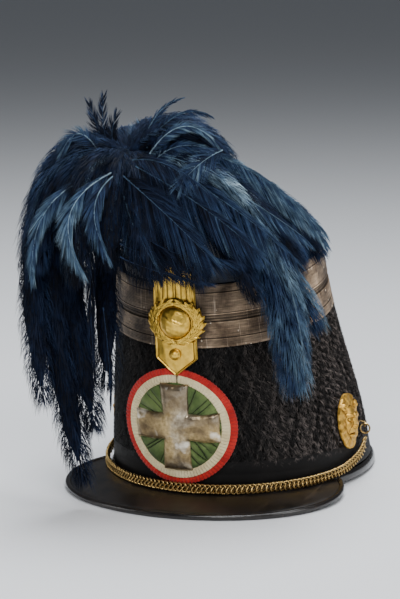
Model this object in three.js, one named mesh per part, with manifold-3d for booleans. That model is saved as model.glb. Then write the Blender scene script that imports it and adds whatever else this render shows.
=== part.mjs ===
// A parade shako with a drooping feather plume. Millimetres, +Z up, the peak towards -Y.
// The wearer's left is +X.
import * as THREE from 'three';
import { mergeVertices } from 'three/addons/utils/BufferGeometryUtils.js';
import Module from 'manifold-3d';

const wasm = await Module();
wasm.setup();

// Body: an oval foot and a smaller, nearly round top that leans forward.
const FOOT_HALF_LENGTH = 105.6;
const FOOT_HALF_WIDTH = 88;
const TOP_HALF_LENGTH = 77.4;
const TOP_HALF_WIDTH = 67.4;
const TOP_SHIFT = -45;
const FRONT_HEIGHT = 143.3;
const REAR_HEIGHT = 168.2;
const WAIST = 0.28;
const ROUND = 36;
const LATHE_HUB = 50;

// Wall and skins: offsets out of the nominal surface, inner face then outer face.
const GAP = 0.3;
const WALL = { inner: -3.4, outer: -0.9 };
const WALL_FOOT = 0.021;
const WALL_ROWS = 7;
const LACE = { inner: -0.25, outer: 0.9 };
const BAND = { inner: -0.5, outer: 0.5, foot: 7.2, head: 24 };
const UPPER_LACE = { top: 0.4, bottom: 20.2 };
const LOWER_LACE = { top: 24.6, bottom: 42 };
const TOP_RECESS = 3;
const TOP_THICKNESS = 2;
const BINDING_SECTION = [
  // offset, height
  [-4.8, 0],
  [1.2, 0],
  [2.5, 2.4],
  [2.2, 5.2],
  [-0.5, 6.6],
  [-0.5, 2.6],
  [-3.6, 2.6],
  [-3.6, 6.2],
  [-4.8, 6.2],
];

// Peak: it reaches out from the foot and is rolled at its edge, which lies on the floor in front.
const PEAK_REACH = 36.8;
const PEAK_HALF_ANGLE = 66.3;
const PEAK_SQUARENESS = 4.45;
const PEAK_ROOT = 2.8;
const PEAK_ROOT_TOP = 2.5;
const PEAK_ROOT_RISE = 2;
const PEAK_THICKNESS = 2;
const PEAK_END = 1.2;
const RIM_RADIUS = 2;
const RIM_GAP = 0.4;
const PEAK_SWEEP = 1.25;
const PEAK_ROOT_SPAN = 0.97;
const PEAK_STEPS = 34;
const FLAT_HALF_ANGLE = 22;
const SIDE_RISE = 4.6;
const REST_TILT = THREE.MathUtils.degToRad(1.02);

// Front: strap, medallion and cockade.
const STRAP = { halfWidth: 14.5, tip: 83, shoulder: 94.5, top: 157, thickness: 1.2, bend: 60 };
const STRAP_FOOT_Y = -118.7;
const STRAP_LEAN = 0.086;
const FLUTES = 4;
const FLUTE_DEPTH = 0.45;
const FLUTES_START = 30;
const FLUTES_FADE = 6;
const STAMPING_GAP = 0.4;
const MEDALLION = { height: 118, halfWidth: 20.6, halfHeight: 16.2, lobes: 13, notch: 0.09, plate: 1.4 };
const WREATH_LEAF = { count: 13, across: 16, up: 12, length: 4.6, width: 2.4, rise: 1.5, turn: 0.7 };
const DOME = { halfWidth: 11.8, halfHeight: 11.4, rise: 6.4, foot: 1.2 };
const SMALL_BOSS = { height: 97.4, radius: 3.9, rise: 3, foot: 0.2 };
const COCKADE = { aside: -2.6, height: 48, radius: 40, bend: 100, lean: 0.125, backY: -107.1 };
const RIBBON_SWELL = 0.35;
const RIBBON_SIDES = 28;
const RED_RING = { inner: 35.5, outer: 40, thickness: 1.4 };
const CREAM_RING = { inner: 30.4, outer: 35.2, thickness: 1.6 };
const GREEN = { radius: 30.1, pleats: 18, edge: 0.9, middle: 1.1, middleAt: 0.62, pleatDepth: 0.35 };
const CROSS = { span: 29.4, half: 9.2, flare: 0.9, thickness: 2.4, foot: 2.6, bevel: 0.8, inset: 0.9 };

// Chin chain and its ends. Angles are measured from the front, positive to the wearer's left.
const CHAIN = { halfThickness: 1.9, halfWidth: 3.3, sides: 8, steps: 24 };
const CHAIN_ROUTE = [
  // fromFront, height, offset
  [0, 6.5, 4.9],
  [25, 6.6, 4.9],
  [50, 7.4, 4.9],
  [68, 9.4, 4.6],
  [80, 12.6, 3.4],
  [89, 17.2, 3.3],
  [94.4, 24, 3.8],
];
const RING = { fromFront: 95.6, height: 30, radius: 3.4, wire: 0.65, offset: 3.8 };
const HOOK_CURL = 1.75;
const HOOK_WIRE = 0.6;
const HOOK_STEM = [
  // along the wall, above the ring's top, out
  [-10.4, 3.4, -1.5],
  [-4.4, 3.2, -1.5],
  [-2.2, 2.2, -0.6],
];
const HOOK_TURN = [110, 65, 20, -25, -70, -110];
const BOSS = { fromFront: 83.5, height: 39.8, offset: 0.4, halfWidth: 14.8, halfHeight: 19.2 };
const BOSS_PLATE = { thickness: 1.6, lobes: 10, notch: 0.1 };
const MANE = { count: 7, across: 0.7, up: 0.74, length: 4.8, width: 2.8, rise: 2 };
const LION_FACE = [
  // size is the half width, half height and rise; mesh is the sides and rings
  { name: 'face', x: 0, y: 1, foot: 0, size: [8.6, 11, 4.4], turn: 0, mesh: [7, 4] },
  { name: 'muzzle', x: 0, y: -5.4, foot: 2.4, size: [5, 4, 4], turn: 0, mesh: [6, 4] },
  { name: 'nose', x: 0, y: 0.6, foot: 3, size: [2.2, 6.4, 3.2], turn: 0, mesh: [5, 4] },
  { name: 'left brow', x: -4.6, y: 5, foot: 2.6, size: [3.4, 1.7, 2.4], turn: 0.35, mesh: [5, 3] },
  { name: 'right brow', x: 4.6, y: 5, foot: 2.6, size: [3.4, 1.7, 2.4], turn: -0.35, mesh: [5, 3] },
  { name: 'left ear', x: -7.82, y: 12, foot: 0, size: [2.6, 2.6, 2.6], turn: 0, mesh: [5, 3] },
  { name: 'right ear', x: 7.82, y: 12, foot: 0, size: [2.6, 2.6, 2.6], turn: 0, mesh: [5, 3] },
];

// Plume: a head on a stem, and locks that leave the head, rise, and hang down.
const HUB = new THREE.Vector3(-20, -148, 226);
const SOCKET = { radius: 6.6, bore: 4.7, foot: 144.4, height: 17, floor: 2, y: -115.6 };
const STEM_RADIUS = 3.8;
const STEM_FOOT = 3;
const STEM_RISE = 4;
const STEM_LEAN = 0.35;
const HEAD = { halfWidth: 23, halfDepth: 20, halfHeight: 32 };
const HEAD_SHIFT = new THREE.Vector3(4, 4, -18);
const LOCK_SIDES = 6;
const LONG_STEPS = 7;
const SHORT_STEPS = 6;
const LONG_DROP = 100;
const LOCK_START = 0.1;
const LOCK_SAMPLES = 13;
const LOCK_TIP = 0.06;
const LOCKS = [
  // aim in degrees from +X, reach, rise, drop, back, bend, half width, half thickness
  { name: 'sprig', aim: 190, reach: 20, rise: 0, drop: -36, back: 0, bend: 1.2, width: 7, depth: 5 },
  { name: 'outer fall', aim: 200, reach: 66, rise: 6, drop: 156, back: 10, bend: 3.2, width: 11, depth: 8 },
  { name: 'long fall', aim: 186, reach: 62, rise: 4, drop: 210, back: 29, bend: 3, width: 13, depth: 9 },
  { name: 'bushy fall', aim: 176, reach: 56, rise: 4, drop: 176, back: 30, bend: 2.6, width: 13, depth: 9 },
  { name: 'inner fall', aim: 148, reach: 28, rise: 6, drop: 150, back: 0, bend: 2.6, width: 10, depth: 8 },
  { name: 'left crown', aim: 196, reach: 54, rise: 12, drop: 44, back: 0, bend: 1.8, width: 15, depth: 9 },
  { name: 'left front', aim: 214, reach: 58, rise: 4, drop: 66, back: 0, bend: 2.0, width: 14, depth: 8 },
  { name: 'pale front', aim: 236, reach: 42, rise: 4, drop: 74, back: 4, bend: 2.4, width: 14, depth: 8 },
  { name: 'short front', aim: 262, reach: 24, rise: 4, drop: 62, back: 0, bend: 2.0, width: 14, depth: 8 },
  { name: 'centre left', aim: 318, reach: 26, rise: 0, drop: 74, back: 0, bend: 1.4, width: 16, depth: 9 },
  { name: 'centre', aim: 354, reach: 50, rise: 0, drop: 76, back: 0, bend: 1, width: 17, depth: 9 },
  { name: 'centre right', aim: 10, reach: 82, rise: 0, drop: 86, back: 0, bend: 1, width: 10, depth: 7 },
  { name: 'under right', aim: 24, reach: 106, rise: 0, drop: 68, back: 0, bend: 1.1, width: 16, depth: 9 },
  { name: 'under sweep', aim: 42, reach: 112, rise: 0, drop: 66, back: 0, bend: 1.1, width: 16, depth: 9 },
  { name: 'long hang', aim: 20, reach: 105, rise: 0, drop: 146, back: 0, bend: 1.7, width: 16, depth: 12 },
  { name: 'second hang', aim: 34, reach: 124, rise: -2, drop: 112, back: 0, bend: 1, width: 13, depth: 10 },
  { name: 'low sweep', aim: 42, reach: 130, rise: 0, drop: 66, back: 0, bend: 1.15, width: 14, depth: 8 },
  { name: 'middle sweep', aim: 52, reach: 136, rise: -6, drop: 58, back: 0, bend: 1.15, width: 14, depth: 8 },
  { name: 'high sweep', aim: 64, reach: 128, rise: 3, drop: 50, back: 0, bend: 1.15, width: 14, depth: 8 },
  { name: 'near crest', aim: 32, reach: 58, rise: 16, drop: 0, back: 0, bend: 1.2, width: 13, depth: 8 },
  { name: 'middle crest', aim: 56, reach: 76, rise: 20, drop: 14, back: 0, bend: 1.2, width: 14, depth: 8 },
  { name: 'far crest', aim: 84, reach: 72, rise: 18, drop: 30, back: 0, bend: 1.2, width: 14, depth: 8 },
  { name: 'back', aim: 112, reach: 58, rise: 14, drop: 42, back: 0, bend: 1.6, width: 14, depth: 8 },
  { name: 'back left', aim: 150, reach: 46, rise: 14, drop: 50, back: 0, bend: 1.8, width: 14, depth: 8 },
];
const LOCK_CLEARANCE = 7;

const finish = (color, roughness, metalness) => ({ color, roughness, metalness });
const FUR = finish(0x0d0b0a, 0.95, 0);
const LEATHER = finish(0x15110f, 0.45, 0);
const CLOTH_BLACK = finish(0x0a0909, 0.8, 0);
const SILVER_LACE = finish(0x6b5d52, 0.55, 0.5);
const GILT = finish(0xb8892f, 0.35, 0.95);
const BRASS = finish(0x8a6a35, 0.4, 0.9);
const RED = finish(0xb8322c, 0.85, 0);
const CREAM = finish(0xd8cda6, 0.85, 0);
const GREEN_CLOTH = finish(0x3f5f33, 0.8, 0);
const SILVERED = finish(0x9a8467, 0.4, 0.8);
const FEATHER = finish(0x1d3557, 0.8, 0);

const shako = new THREE.Group();

function add(name, geometry, look, parent = shako) {
  const mesh = new THREE.Mesh(geometry, new THREE.MeshStandardMaterial(look));
  mesh.name = name;
  parent.add(mesh);
  return mesh;
}

// Moves every vertex of a geometry by a function of its position.
function warp(geometry, place) {
  const position = geometry.attributes.position;
  const point = new THREE.Vector3();
  for (let i = 0; i < position.count; i += 1) {
    point.fromBufferAttribute(position, i);
    const moved = place(point);
    position.setXYZ(i, moved.x, moved.y, moved.z);
  }
  return geometry;
}

function toSolid(geometry) {
  const bare = geometry.clone();
  bare.deleteAttribute('normal');
  bare.deleteAttribute('uv');
  const merged = mergeVertices(bare, 1e-4);
  const vertProperties = new Float32Array(merged.attributes.position.array);
  const triVerts = new Uint32Array(merged.index.array);
  return new wasm.Manifold(new wasm.Mesh({ numProp: 3, vertProperties, triVerts }));
}

function toGeometry(solid) {
  const mesh = solid.getMesh();
  const geometry = new THREE.BufferGeometry();
  geometry.setAttribute('position', new THREE.BufferAttribute(new Float32Array(mesh.vertProperties), 3));
  geometry.setIndex(new THREE.BufferAttribute(new Uint32Array(mesh.triVerts), 1));
  geometry.computeVertexNormals();
  return geometry;
}

const join = (geometries) => geometries.map(toSolid).reduce((whole, piece) => whole.add(piece));

// The nominal outer surface of the body, from the angle round it and the share of its height.
function heightAt(theta) {
  return (FRONT_HEIGHT + REAR_HEIGHT) / 2 + ((REAR_HEIGHT - FRONT_HEIGHT) / 2) * Math.sin(theta);
}

function eased(share) {
  return share - (WAIST / (2 * Math.PI)) * Math.sin(2 * Math.PI * share);
}

function bodyPoint(theta, share, offset = 0) {
  const s = eased(share);
  const length = FOOT_HALF_LENGTH + (TOP_HALF_LENGTH - FOOT_HALF_LENGTH) * s + offset;
  const width = FOOT_HALF_WIDTH + (TOP_HALF_WIDTH - FOOT_HALF_WIDTH) * s + offset;
  const y = TOP_SHIFT * s + length * Math.sin(theta);
  return new THREE.Vector3(width * Math.cos(theta), y, share * heightAt(theta));
}

const bodyAtHeight = (theta, z, offset) => bodyPoint(theta, z / heightAt(theta), offset);
const byShare = (theta, share) => share;
const fromFoot = (theta, rise) => rise / heightAt(theta);
const fromTop = (theta, drop) => 1 - drop / heightAt(theta);

// A closed profile of (offset, level) turned round the body.
function bodyRing(profile, measure) {
  const outline = profile.map(([offset, level]) => new THREE.Vector2(LATHE_HUB + offset, level));
  outline.push(outline[0].clone());
  const turned = new THREE.LatheGeometry(outline, ROUND);
  return warp(turned, (p) => {
    const theta = Math.atan2(p.z, p.x);
    return bodyPoint(-theta, measure(-theta, p.y), Math.hypot(p.x, p.z) - LATHE_HUB);
  });
}

function skin({ inner, outer }, low, high, measure, rows = 1, backRows = rows) {
  const face = (offset, count) => (
    Array.from({ length: count + 1 }, (_, i) => [offset, low + ((high - low) * i) / count])
  );
  return bodyRing([...face(outer, rows), ...face(inner, backRows).reverse()], measure);
}

function buildBody() {
  add('crown_wall', skin(WALL, WALL_FOOT, 1, byShare, WALL_ROWS, 4), FUR);
  const edge = WALL.inner - GAP;
  const shares = [TOP_RECESS + TOP_THICKNESS, TOP_RECESS];
  const disc = new THREE.CylinderGeometry(1, 1, 1, ROUND);
  const middle = bodyPoint(-Math.PI / 2, 1).add(bodyPoint(Math.PI / 2, 1)).multiplyScalar(0.5);
  warp(disc, (p) => {
    const drop = p.y > 0 ? shares[1] : shares[0];
    const theta = Math.atan2(-p.z, p.x);
    const rim = bodyPoint(theta, fromTop(theta, drop), edge);
    const centre = middle.clone().setZ(middle.z - drop);
    return centre.lerp(rim, Math.hypot(p.x, p.z));
  });
  add('crown_top', disc, LEATHER);
  add('upper_lace', skin(LACE, UPPER_LACE.bottom, UPPER_LACE.top, fromTop), SILVER_LACE);
  add('lower_lace', skin(LACE, LOWER_LACE.bottom, LOWER_LACE.top, fromTop), SILVER_LACE);
  add('base_band', skin(BAND, BAND.foot, BAND.head, fromFoot), CLOTH_BLACK);
  add('base_binding', bodyRing(BINDING_SECTION, fromFoot), LEATHER);
}

// The peak, from the angle off the front in degrees and the share of its reach.
const floorUnder = (y) => -(FOOT_HALF_LENGTH - y) * Math.tan(REST_TILT);

function peakReach(fromFront) {
  const turn = Math.min(Math.abs(fromFront) / PEAK_HALF_ANGLE, 1);
  return PEAK_END + PEAK_REACH * (1 - turn ** PEAK_SQUARENESS);
}

function footOutwards(fromFront, offset) {
  const theta = THREE.MathUtils.degToRad(fromFront - 90);
  const foot = new THREE.Vector3(FOOT_HALF_WIDTH * Math.cos(theta), FOOT_HALF_LENGTH * Math.sin(theta), 0);
  const outwards = new THREE.Vector3(Math.cos(theta) / FOOT_HALF_WIDTH, Math.sin(theta) / FOOT_HALF_LENGTH, 0);
  return foot.addScaledVector(outwards.normalize(), offset);
}

function edgeCentre(fromFront, beyond) {
  const point = footOutwards(fromFront, PEAK_ROOT + peakReach(fromFront) + beyond);
  const spread = PEAK_HALF_ANGLE - FLAT_HALF_ANGLE;
  const past = Math.max(Math.abs(fromFront) - FLAT_HALF_ANGLE, 0) / spread;
  return point.setZ(floorUnder(point.y) + RIM_RADIUS + SIDE_RISE * past ** 2);
}

// The rim's centre line. The plate's columns share its steps, and end a gap inside it.
function rimCurve() {
  const route = Array.from({ length: PEAK_STEPS + 1 }, (_, i) => (
    edgeCentre((2 * i / PEAK_STEPS - 1) * PEAK_HALF_ANGLE, RIM_RADIUS)
  ));
  return new THREE.CatmullRomCurve3(route);
}

function peakPoint(curve, along, share, up) {
  const turn = 2 * curve.getUtoTmapping(along) - 1;
  const root = footOutwards(turn * PEAK_ROOT_SPAN * PEAK_HALF_ANGLE, PEAK_ROOT);
  root.z = PEAK_ROOT_TOP - PEAK_THICKNESS / 2 + PEAK_ROOT_RISE * turn ** 2;
  const tangent = curve.getTangentAt(along);
  const inwards = new THREE.Vector3(-tangent.y, tangent.x, 0).normalize();
  const edge = curve.getPointAt(along).addScaledVector(inwards, RIM_RADIUS + RIM_GAP);
  const z = root.z + (edge.z - root.z) * share ** PEAK_SWEEP + up * PEAK_THICKNESS;
  return root.lerp(edge, share).setZ(z);
}

function buildPeak() {
  const curve = rimCurve();
  const plate = new THREE.BoxGeometry(1, 1, 1, PEAK_STEPS, 3, 1);
  add('peak', warp(plate, (p) => peakPoint(curve, 0.5 - p.x, p.y + 0.5, p.z)), LEATHER);
  const section = new THREE.Shape().absarc(0, 0, RIM_RADIUS, 0, 2 * Math.PI);
  const options = { extrudePath: curve, steps: PEAK_STEPS, curveSegments: 4, bevelEnabled: false };
  add('peak_rim', new THREE.ExtrudeGeometry(section, options), LEATHER);
}

// The gilt strap is straight up the front and gently curved across.
function strapPoint(x, z, out) {
  const y = STRAP_FOOT_Y - STRAP_LEAN * (z - STRAP.tip) + (x * x) / (2 * STRAP.bend) - out;
  return new THREE.Vector3(x, y, z);
}

function fluteDepth(across, z) {
  const start = STRAP.shoulder + FLUTES_START;
  const fade = THREE.MathUtils.smoothstep(z, start, start + FLUTES_FADE);
  return FLUTE_DEPTH * fade * Math.cos(across * FLUTES * 2 * Math.PI) - FLUTE_DEPTH;
}

function buildStrap() {
  const columns = FLUTES * 3;
  const plate = new THREE.BoxGeometry(1, 1, 1, columns, 1, 5);
  warp(plate, (p) => {
    const x = p.x * 2 * STRAP.halfWidth;
    const foot = STRAP.tip + (STRAP.shoulder - STRAP.tip) * Math.abs(p.x * 2);
    const z = foot + (STRAP.top - foot) * (p.z + 0.5);
    const out = p.y < 0 ? STRAP.thickness + fluteDepth(p.x, z) * 0.8 : 0;
    return strapPoint(x, z, out);
  });
  add('plume_strap', plate, GILT);
}

// A relief lies in its own XY plane with +Z out of the surface.
function bump(x, y, z, rx, ry, rz, turn = 0, sides = 8, rings = 4) {
  const ball = new THREE.SphereGeometry(1, sides, rings);
  ball.scale(rx, ry, rz);
  ball.rotateZ(turn);
  return ball.translate(x, y, z);
}

// Plates and bumps joined, and cut off flat behind.
const relief = (pieces) => toGeometry(join(pieces).trimByPlane([0, 0, 1], 0));

function scallopedPlate(halfWidth, halfHeight, lobes, notch, thickness) {
  const outline = new THREE.Shape();
  const corners = lobes * 2;
  for (let i = 0; i < corners; i += 1) {
    const angle = (i / corners) * 2 * Math.PI;
    const swell = 1 - (i % 2) * notch;
    const x = halfWidth * swell * Math.cos(angle);
    const y = halfHeight * swell * Math.sin(angle);
    outline[i ? 'lineTo' : 'moveTo'](x, y);
  }
  return new THREE.ExtrudeGeometry(outline, { depth: thickness, bevelEnabled: false });
}

function standOnStrap(geometry, z) {
  const back = strapPoint(0, z, STRAP.thickness + STAMPING_GAP);
  geometry.rotateX(Math.PI / 2 + Math.atan(STRAP_LEAN));
  return geometry.translate(back.x, back.y, back.z);
}

function buildMedallion() {
  const { halfWidth, halfHeight, lobes, notch, plate } = MEDALLION;
  const pieces = [scallopedPlate(halfWidth, halfHeight, lobes, notch, plate)];
  const leaf = WREATH_LEAF;
  for (let i = 0; i < leaf.count; i += 1) {
    const angle = ((i + 0.5) / leaf.count) * 2 * Math.PI;
    const x = leaf.across * Math.cos(angle);
    const y = leaf.up * Math.sin(angle);
    pieces.push(bump(x, y, plate, leaf.length, leaf.width, leaf.rise, angle + leaf.turn, 5, 3));
  }
  pieces.push(bump(0, 0, DOME.foot, DOME.halfWidth, DOME.halfHeight, DOME.rise, 0, 12, 6));
  add('laurel_medallion', standOnStrap(relief(pieces), MEDALLION.height), GILT);
  const { radius, rise, foot } = SMALL_BOSS;
  const dome = relief([bump(0, 0, foot, radius, radius, rise, 0, 10, 6)]);
  add('small_boss', standOnStrap(dome, SMALL_BOSS.height), GILT);
}

// The cockade's pieces are made flat, then bent a little round the body and leant with it.
function onCockade(geometry) {
  warp(geometry, (p) => p.setZ(p.z - (p.x * p.x) / (2 * COCKADE.bend)));
  geometry.rotateX(Math.PI / 2 + Math.atan(COCKADE.lean));
  return geometry.translate(COCKADE.aside, COCKADE.backY - COCKADE.lean * COCKADE.radius, COCKADE.height);
}

function flatRing({ inner, outer, thickness }, segments) {
  const shoulder = thickness - RIBBON_SWELL;
  const outline = [
    [inner, 0],
    [outer, 0],
    [outer, shoulder],
    [(inner + outer) / 2, thickness],
    [inner, shoulder],
  ];
  const points = [...outline, outline[0]].map(([r, z]) => new THREE.Vector2(r, z));
  return new THREE.LatheGeometry(points, segments).rotateX(Math.PI / 2);
}

function buildCockade() {
  add('cockade_red_ring', onCockade(flatRing(RED_RING, RIBBON_SIDES)), RED);
  add('cockade_cream_ring', onCockade(flatRing(CREAM_RING, RIBBON_SIDES)), CREAM);
  const section = [
    [0, 0],
    [GREEN.radius, 0],
    [GREEN.radius, GREEN.edge],
    [GREEN.radius * GREEN.middleAt, GREEN.middle],
    [0, GREEN.edge],
  ];
  const centre = new THREE.LatheGeometry(section.map(([r, z]) => new THREE.Vector2(r, z)), GREEN.pleats * 2);
  centre.rotateX(-Math.PI / 2);
  centre.rotateY(Math.PI);
  warp(centre, (p) => {
    const angle = Math.atan2(p.y, p.x);
    const share = Math.hypot(p.x, p.y) / GREEN.radius;
    const lift = GREEN.pleatDepth * Math.cos(angle * GREEN.pleats) * share;
    return p.setZ(p.z > GREEN.edge / 2 ? p.z + lift : p.z);
  });
  add('cockade_green_centre', onCockade(centre), GREEN_CLOTH);
  const { span, half, flare, bevel, inset } = CROSS;
  const arm = [[half, half], [span, half + flare], [span, -half - flare], [half, -half]];
  const corners = [0, 1, 2, 3].flatMap((quarter) => arm.slice(1).map(([x, y]) => (
    new THREE.Vector2(x, y).rotateAround(new THREE.Vector2(), -quarter * Math.PI / 2)
  )));
  const outline = new THREE.Shape(corners);
  const edges = { bevelThickness: bevel, bevelSize: inset, bevelOffset: -inset, bevelSegments: 1 };
  const cross = new THREE.ExtrudeGeometry(outline, { depth: CROSS.thickness - 2 * bevel, ...edges });
  add('cockade_cross', onCockade(cross.translate(0, 0, CROSS.foot)), SILVERED);
}

// The chain, as one tube along its whole route from side to side.
function chainCurve() {
  const others = CHAIN_ROUTE.slice(1).reverse();
  const mirrored = others.map(([fromFront, z, offset]) => [-fromFront, z, offset]);
  const points = [...mirrored, ...CHAIN_ROUTE].map(([fromFront, z, offset]) => (
    bodyAtHeight(THREE.MathUtils.degToRad(fromFront - 90), z, offset)
  ));
  return new THREE.CatmullRomCurve3(points, false, 'centripetal');
}

function buildChain() {
  const section = new THREE.Shape().absellipse(0, 0, CHAIN.halfThickness, CHAIN.halfWidth, 0, 2 * Math.PI);
  const curveSegments = CHAIN.sides / 2;
  const options = { extrudePath: chainCurve(), steps: CHAIN.steps, curveSegments, bevelEnabled: false };
  add('chin_chain', new THREE.ExtrudeGeometry(section, options), BRASS);
}

// A frame on the side of the body: X along the wall to the rear, Y up, Z out of it.
function sideFrame(side, fromFront, z, offset) {
  const theta = THREE.MathUtils.degToRad(side * fromFront - 90);
  const origin = bodyAtHeight(theta, z, offset);
  const ahead = bodyAtHeight(theta + side * 0.01, z, offset).sub(origin).normalize();
  const rough = bodyAtHeight(theta, z + 1, offset).sub(origin).normalize();
  const out = new THREE.Vector3().crossVectors(ahead, rough).multiplyScalar(side).normalize();
  const up = new THREE.Vector3().crossVectors(out, ahead).multiplyScalar(side).normalize();
  return new THREE.Matrix4().makeBasis(ahead, up, out).setPosition(origin);
}

// A mirrored frame turns a mesh inside out, so its triangles are turned back.
function placeOnSide(geometry, side, matrix) {
  geometry.applyMatrix4(matrix);
  if (side < 0) {
    const { count } = geometry.attributes.position;
    const index = geometry.index ? geometry.index.array : Uint32Array.from({ length: count }, (_, i) => i);
    for (let i = 0; i < index.length; i += 3) {
      [index[i + 1], index[i + 2]] = [index[i + 2], index[i + 1]];
    }
    geometry.setIndex(new THREE.BufferAttribute(index, 1));
    geometry.computeVertexNormals();
  }
  return geometry;
}

function wire(points, radius, steps) {
  const curve = new THREE.CatmullRomCurve3(points.map((p) => new THREE.Vector3(...p)));
  const section = new THREE.Shape().absarc(0, 0, radius, 0, 2 * Math.PI);
  const options = { extrudePath: curve, steps, curveSegments: 3, bevelEnabled: false };
  return new THREE.ExtrudeGeometry(section, options);
}

function lionMask() {
  const { halfWidth, halfHeight } = BOSS;
  const plate = BOSS_PLATE.thickness;
  const pieces = [scallopedPlate(halfWidth, halfHeight, BOSS_PLATE.lobes, BOSS_PLATE.notch, plate)];
  for (let i = 0; i < MANE.count; i += 1) {
    const angle = ((i + 0.5) / MANE.count) * 2 * Math.PI;
    const x = MANE.across * halfWidth * Math.cos(angle);
    const y = MANE.up * halfHeight * Math.sin(angle);
    pieces.push(bump(x, y, plate, MANE.length, MANE.width, MANE.rise, Math.atan2(y, x), 5, 3));
  }
  for (const { x, y, foot, size, turn, mesh } of LION_FACE) {
    pieces.push(bump(x, y, plate + foot, ...size, turn, ...mesh));
  }
  return relief(pieces);
}

function buildSide(side, word) {
  const boss = sideFrame(side, BOSS.fromFront, BOSS.height, BOSS.offset);
  add(`lion_boss_${word}`, placeOnSide(lionMask(), side, boss), GILT);
  const frame = sideFrame(side, RING.fromFront, RING.height, RING.offset);
  const ring = new THREE.TorusGeometry(RING.radius, RING.wire, 5, 12).rotateY(Math.PI / 2);
  add(`chain_ring_${word}`, placeOnSide(ring, side, frame), BRASS);
  const top = RING.radius;
  const hook = HOOK_STEM.map(([along, above, out]) => [along, top + above, out]);
  for (const degrees of HOOK_TURN) {
    const angle = THREE.MathUtils.degToRad(degrees);
    hook.push([HOOK_CURL * Math.cos(angle), top + HOOK_CURL * Math.sin(angle), 0]);
  }
  add(`chain_hook_${word}`, placeOnSide(wire(hook, HOOK_WIRE, 12), side, frame), BRASS);
}

// Locks keep clear of the body: a point inside it is pushed out, upwards or sideways.
function clearOfBody(point, margin) {
  const turn = THREE.MathUtils.clamp((point.y - TOP_SHIFT) / TOP_HALF_LENGTH, -1.2, 1.2);
  const rim = (FRONT_HEIGHT + REAR_HEIGHT) / 2 + ((REAR_HEIGHT - FRONT_HEIGHT) / 2) * turn;
  const s = eased(THREE.MathUtils.clamp(point.z / rim, 0, 1));
  const length = FOOT_HALF_LENGTH + (TOP_HALF_LENGTH - FOOT_HALF_LENGTH) * s + margin;
  const width = FOOT_HALF_WIDTH + (TOP_HALF_WIDTH - FOOT_HALF_WIDTH) * s + margin;
  const y = point.y - TOP_SHIFT * s;
  const share = Math.hypot(point.x / width, y / length);
  if (share >= 1 || point.z > rim + margin) {
    return point;
  }
  const up = rim + margin - point.z;
  const aside = (1 / Math.max(share, 1e-6) - 1) * Math.hypot(point.x, y);
  if (up < aside) {
    return point.setZ(rim + margin);
  }
  return point.set(point.x / share, TOP_SHIFT * s + y / share, point.z);
}

function lockPoint(lock, u) {
  const heading = THREE.MathUtils.degToRad(lock.aim);
  const away = lock.reach * (1 - (1 - u) ** lock.bend) - lock.back * u ** 3;
  const z = lock.rise * Math.sin(Math.PI * u ** 0.8) - lock.drop * u * u;
  const point = new THREE.Vector3(away * Math.cos(heading), away * Math.sin(heading), z).add(HUB);
  return clearOfBody(point, lock.depth + LOCK_CLEARANCE);
}

// A lock is slim where it leaves the head, full along its length and rounded off at its tip.
const fullness = (u) => Math.min(1, 0.4 + 2 * u) * Math.sqrt(1 - u ** 6) + LOCK_TIP;

function lockSolid(lock) {
  const points = Array.from({ length: LOCK_SAMPLES }, (_, i) => lockPoint(lock, i / (LOCK_SAMPLES - 1)));
  const curve = new THREE.CatmullRomCurve3(points);
  const steps = lock.drop > LONG_DROP ? LONG_STEPS : SHORT_STEPS;
  const tube = new THREE.CylinderGeometry(1, 1, 1, LOCK_SIDES, steps);
  const heading = THREE.MathUtils.degToRad(lock.aim);
  const across = new THREE.Vector3(-Math.sin(heading), Math.cos(heading), 0);
  return warp(tube, (p) => {
    const u = LOCK_START + (1 - LOCK_START) * THREE.MathUtils.clamp(p.y + 0.5, 0, 1);
    const tangent = curve.getTangentAt(u);
    const out = new THREE.Vector3().crossVectors(across, tangent).normalize();
    return curve.getPointAt(u)
      .addScaledVector(across, p.x * lock.width * fullness(u))
      .addScaledVector(out, p.z * lock.depth * fullness(u));
  });
}

function buildPlume() {
  const { radius, bore, foot, height, floor } = SOCKET;
  const cup = [
    [0, 0],
    [radius, 0],
    [radius, height],
    [bore, height],
    [bore, floor],
    [0, floor],
  ];
  const socket = new THREE.LatheGeometry(cup.map(([r, z]) => new THREE.Vector2(r, z)), 16);
  add('plume_socket', socket.rotateX(Math.PI / 2).translate(0, SOCKET.y, foot), GILT);
  const stemFoot = new THREE.Vector3(0, SOCKET.y, foot + STEM_FOOT);
  const bend = stemFoot.clone().setZ(foot + height + STEM_RISE);
  const stem = new THREE.CatmullRomCurve3([stemFoot, bend, bend.clone().lerp(HUB, STEM_LEAN), HUB.clone()]);
  const section = new THREE.Shape().absarc(0, 0, STEM_RADIUS, 0, 2 * Math.PI);
  const options = { extrudePath: stem, steps: 8, curveSegments: 5, bevelEnabled: false };
  const stemTube = new THREE.ExtrudeGeometry(section, options);
  const head = new THREE.SphereGeometry(1, 10, 6).scale(HEAD.halfWidth, HEAD.halfDepth, HEAD.halfHeight);
  const middle = HUB.clone().add(HEAD_SHIFT);
  head.translate(middle.x, middle.y, middle.z);
  add('plume_feathers', toGeometry(join([head, stemTube, ...LOCKS.map(lockSolid)])), FEATHER);
}

buildBody();
buildPeak();
buildStrap();
buildMedallion();
buildCockade();
buildChain();
buildSide(1, 'left');
buildSide(-1, 'right');
buildPlume();

// The hat rests on the rear of its foot and on the peak's edge, leaning back by the rest tilt.
const resting = new THREE.Group();
shako.position.set(0, -FOOT_HALF_LENGTH, 0);
const turned = new THREE.Group();
turned.rotation.x = -REST_TILT;
turned.add(shako);
resting.add(turned);
resting.updateMatrixWorld(true);

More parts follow.
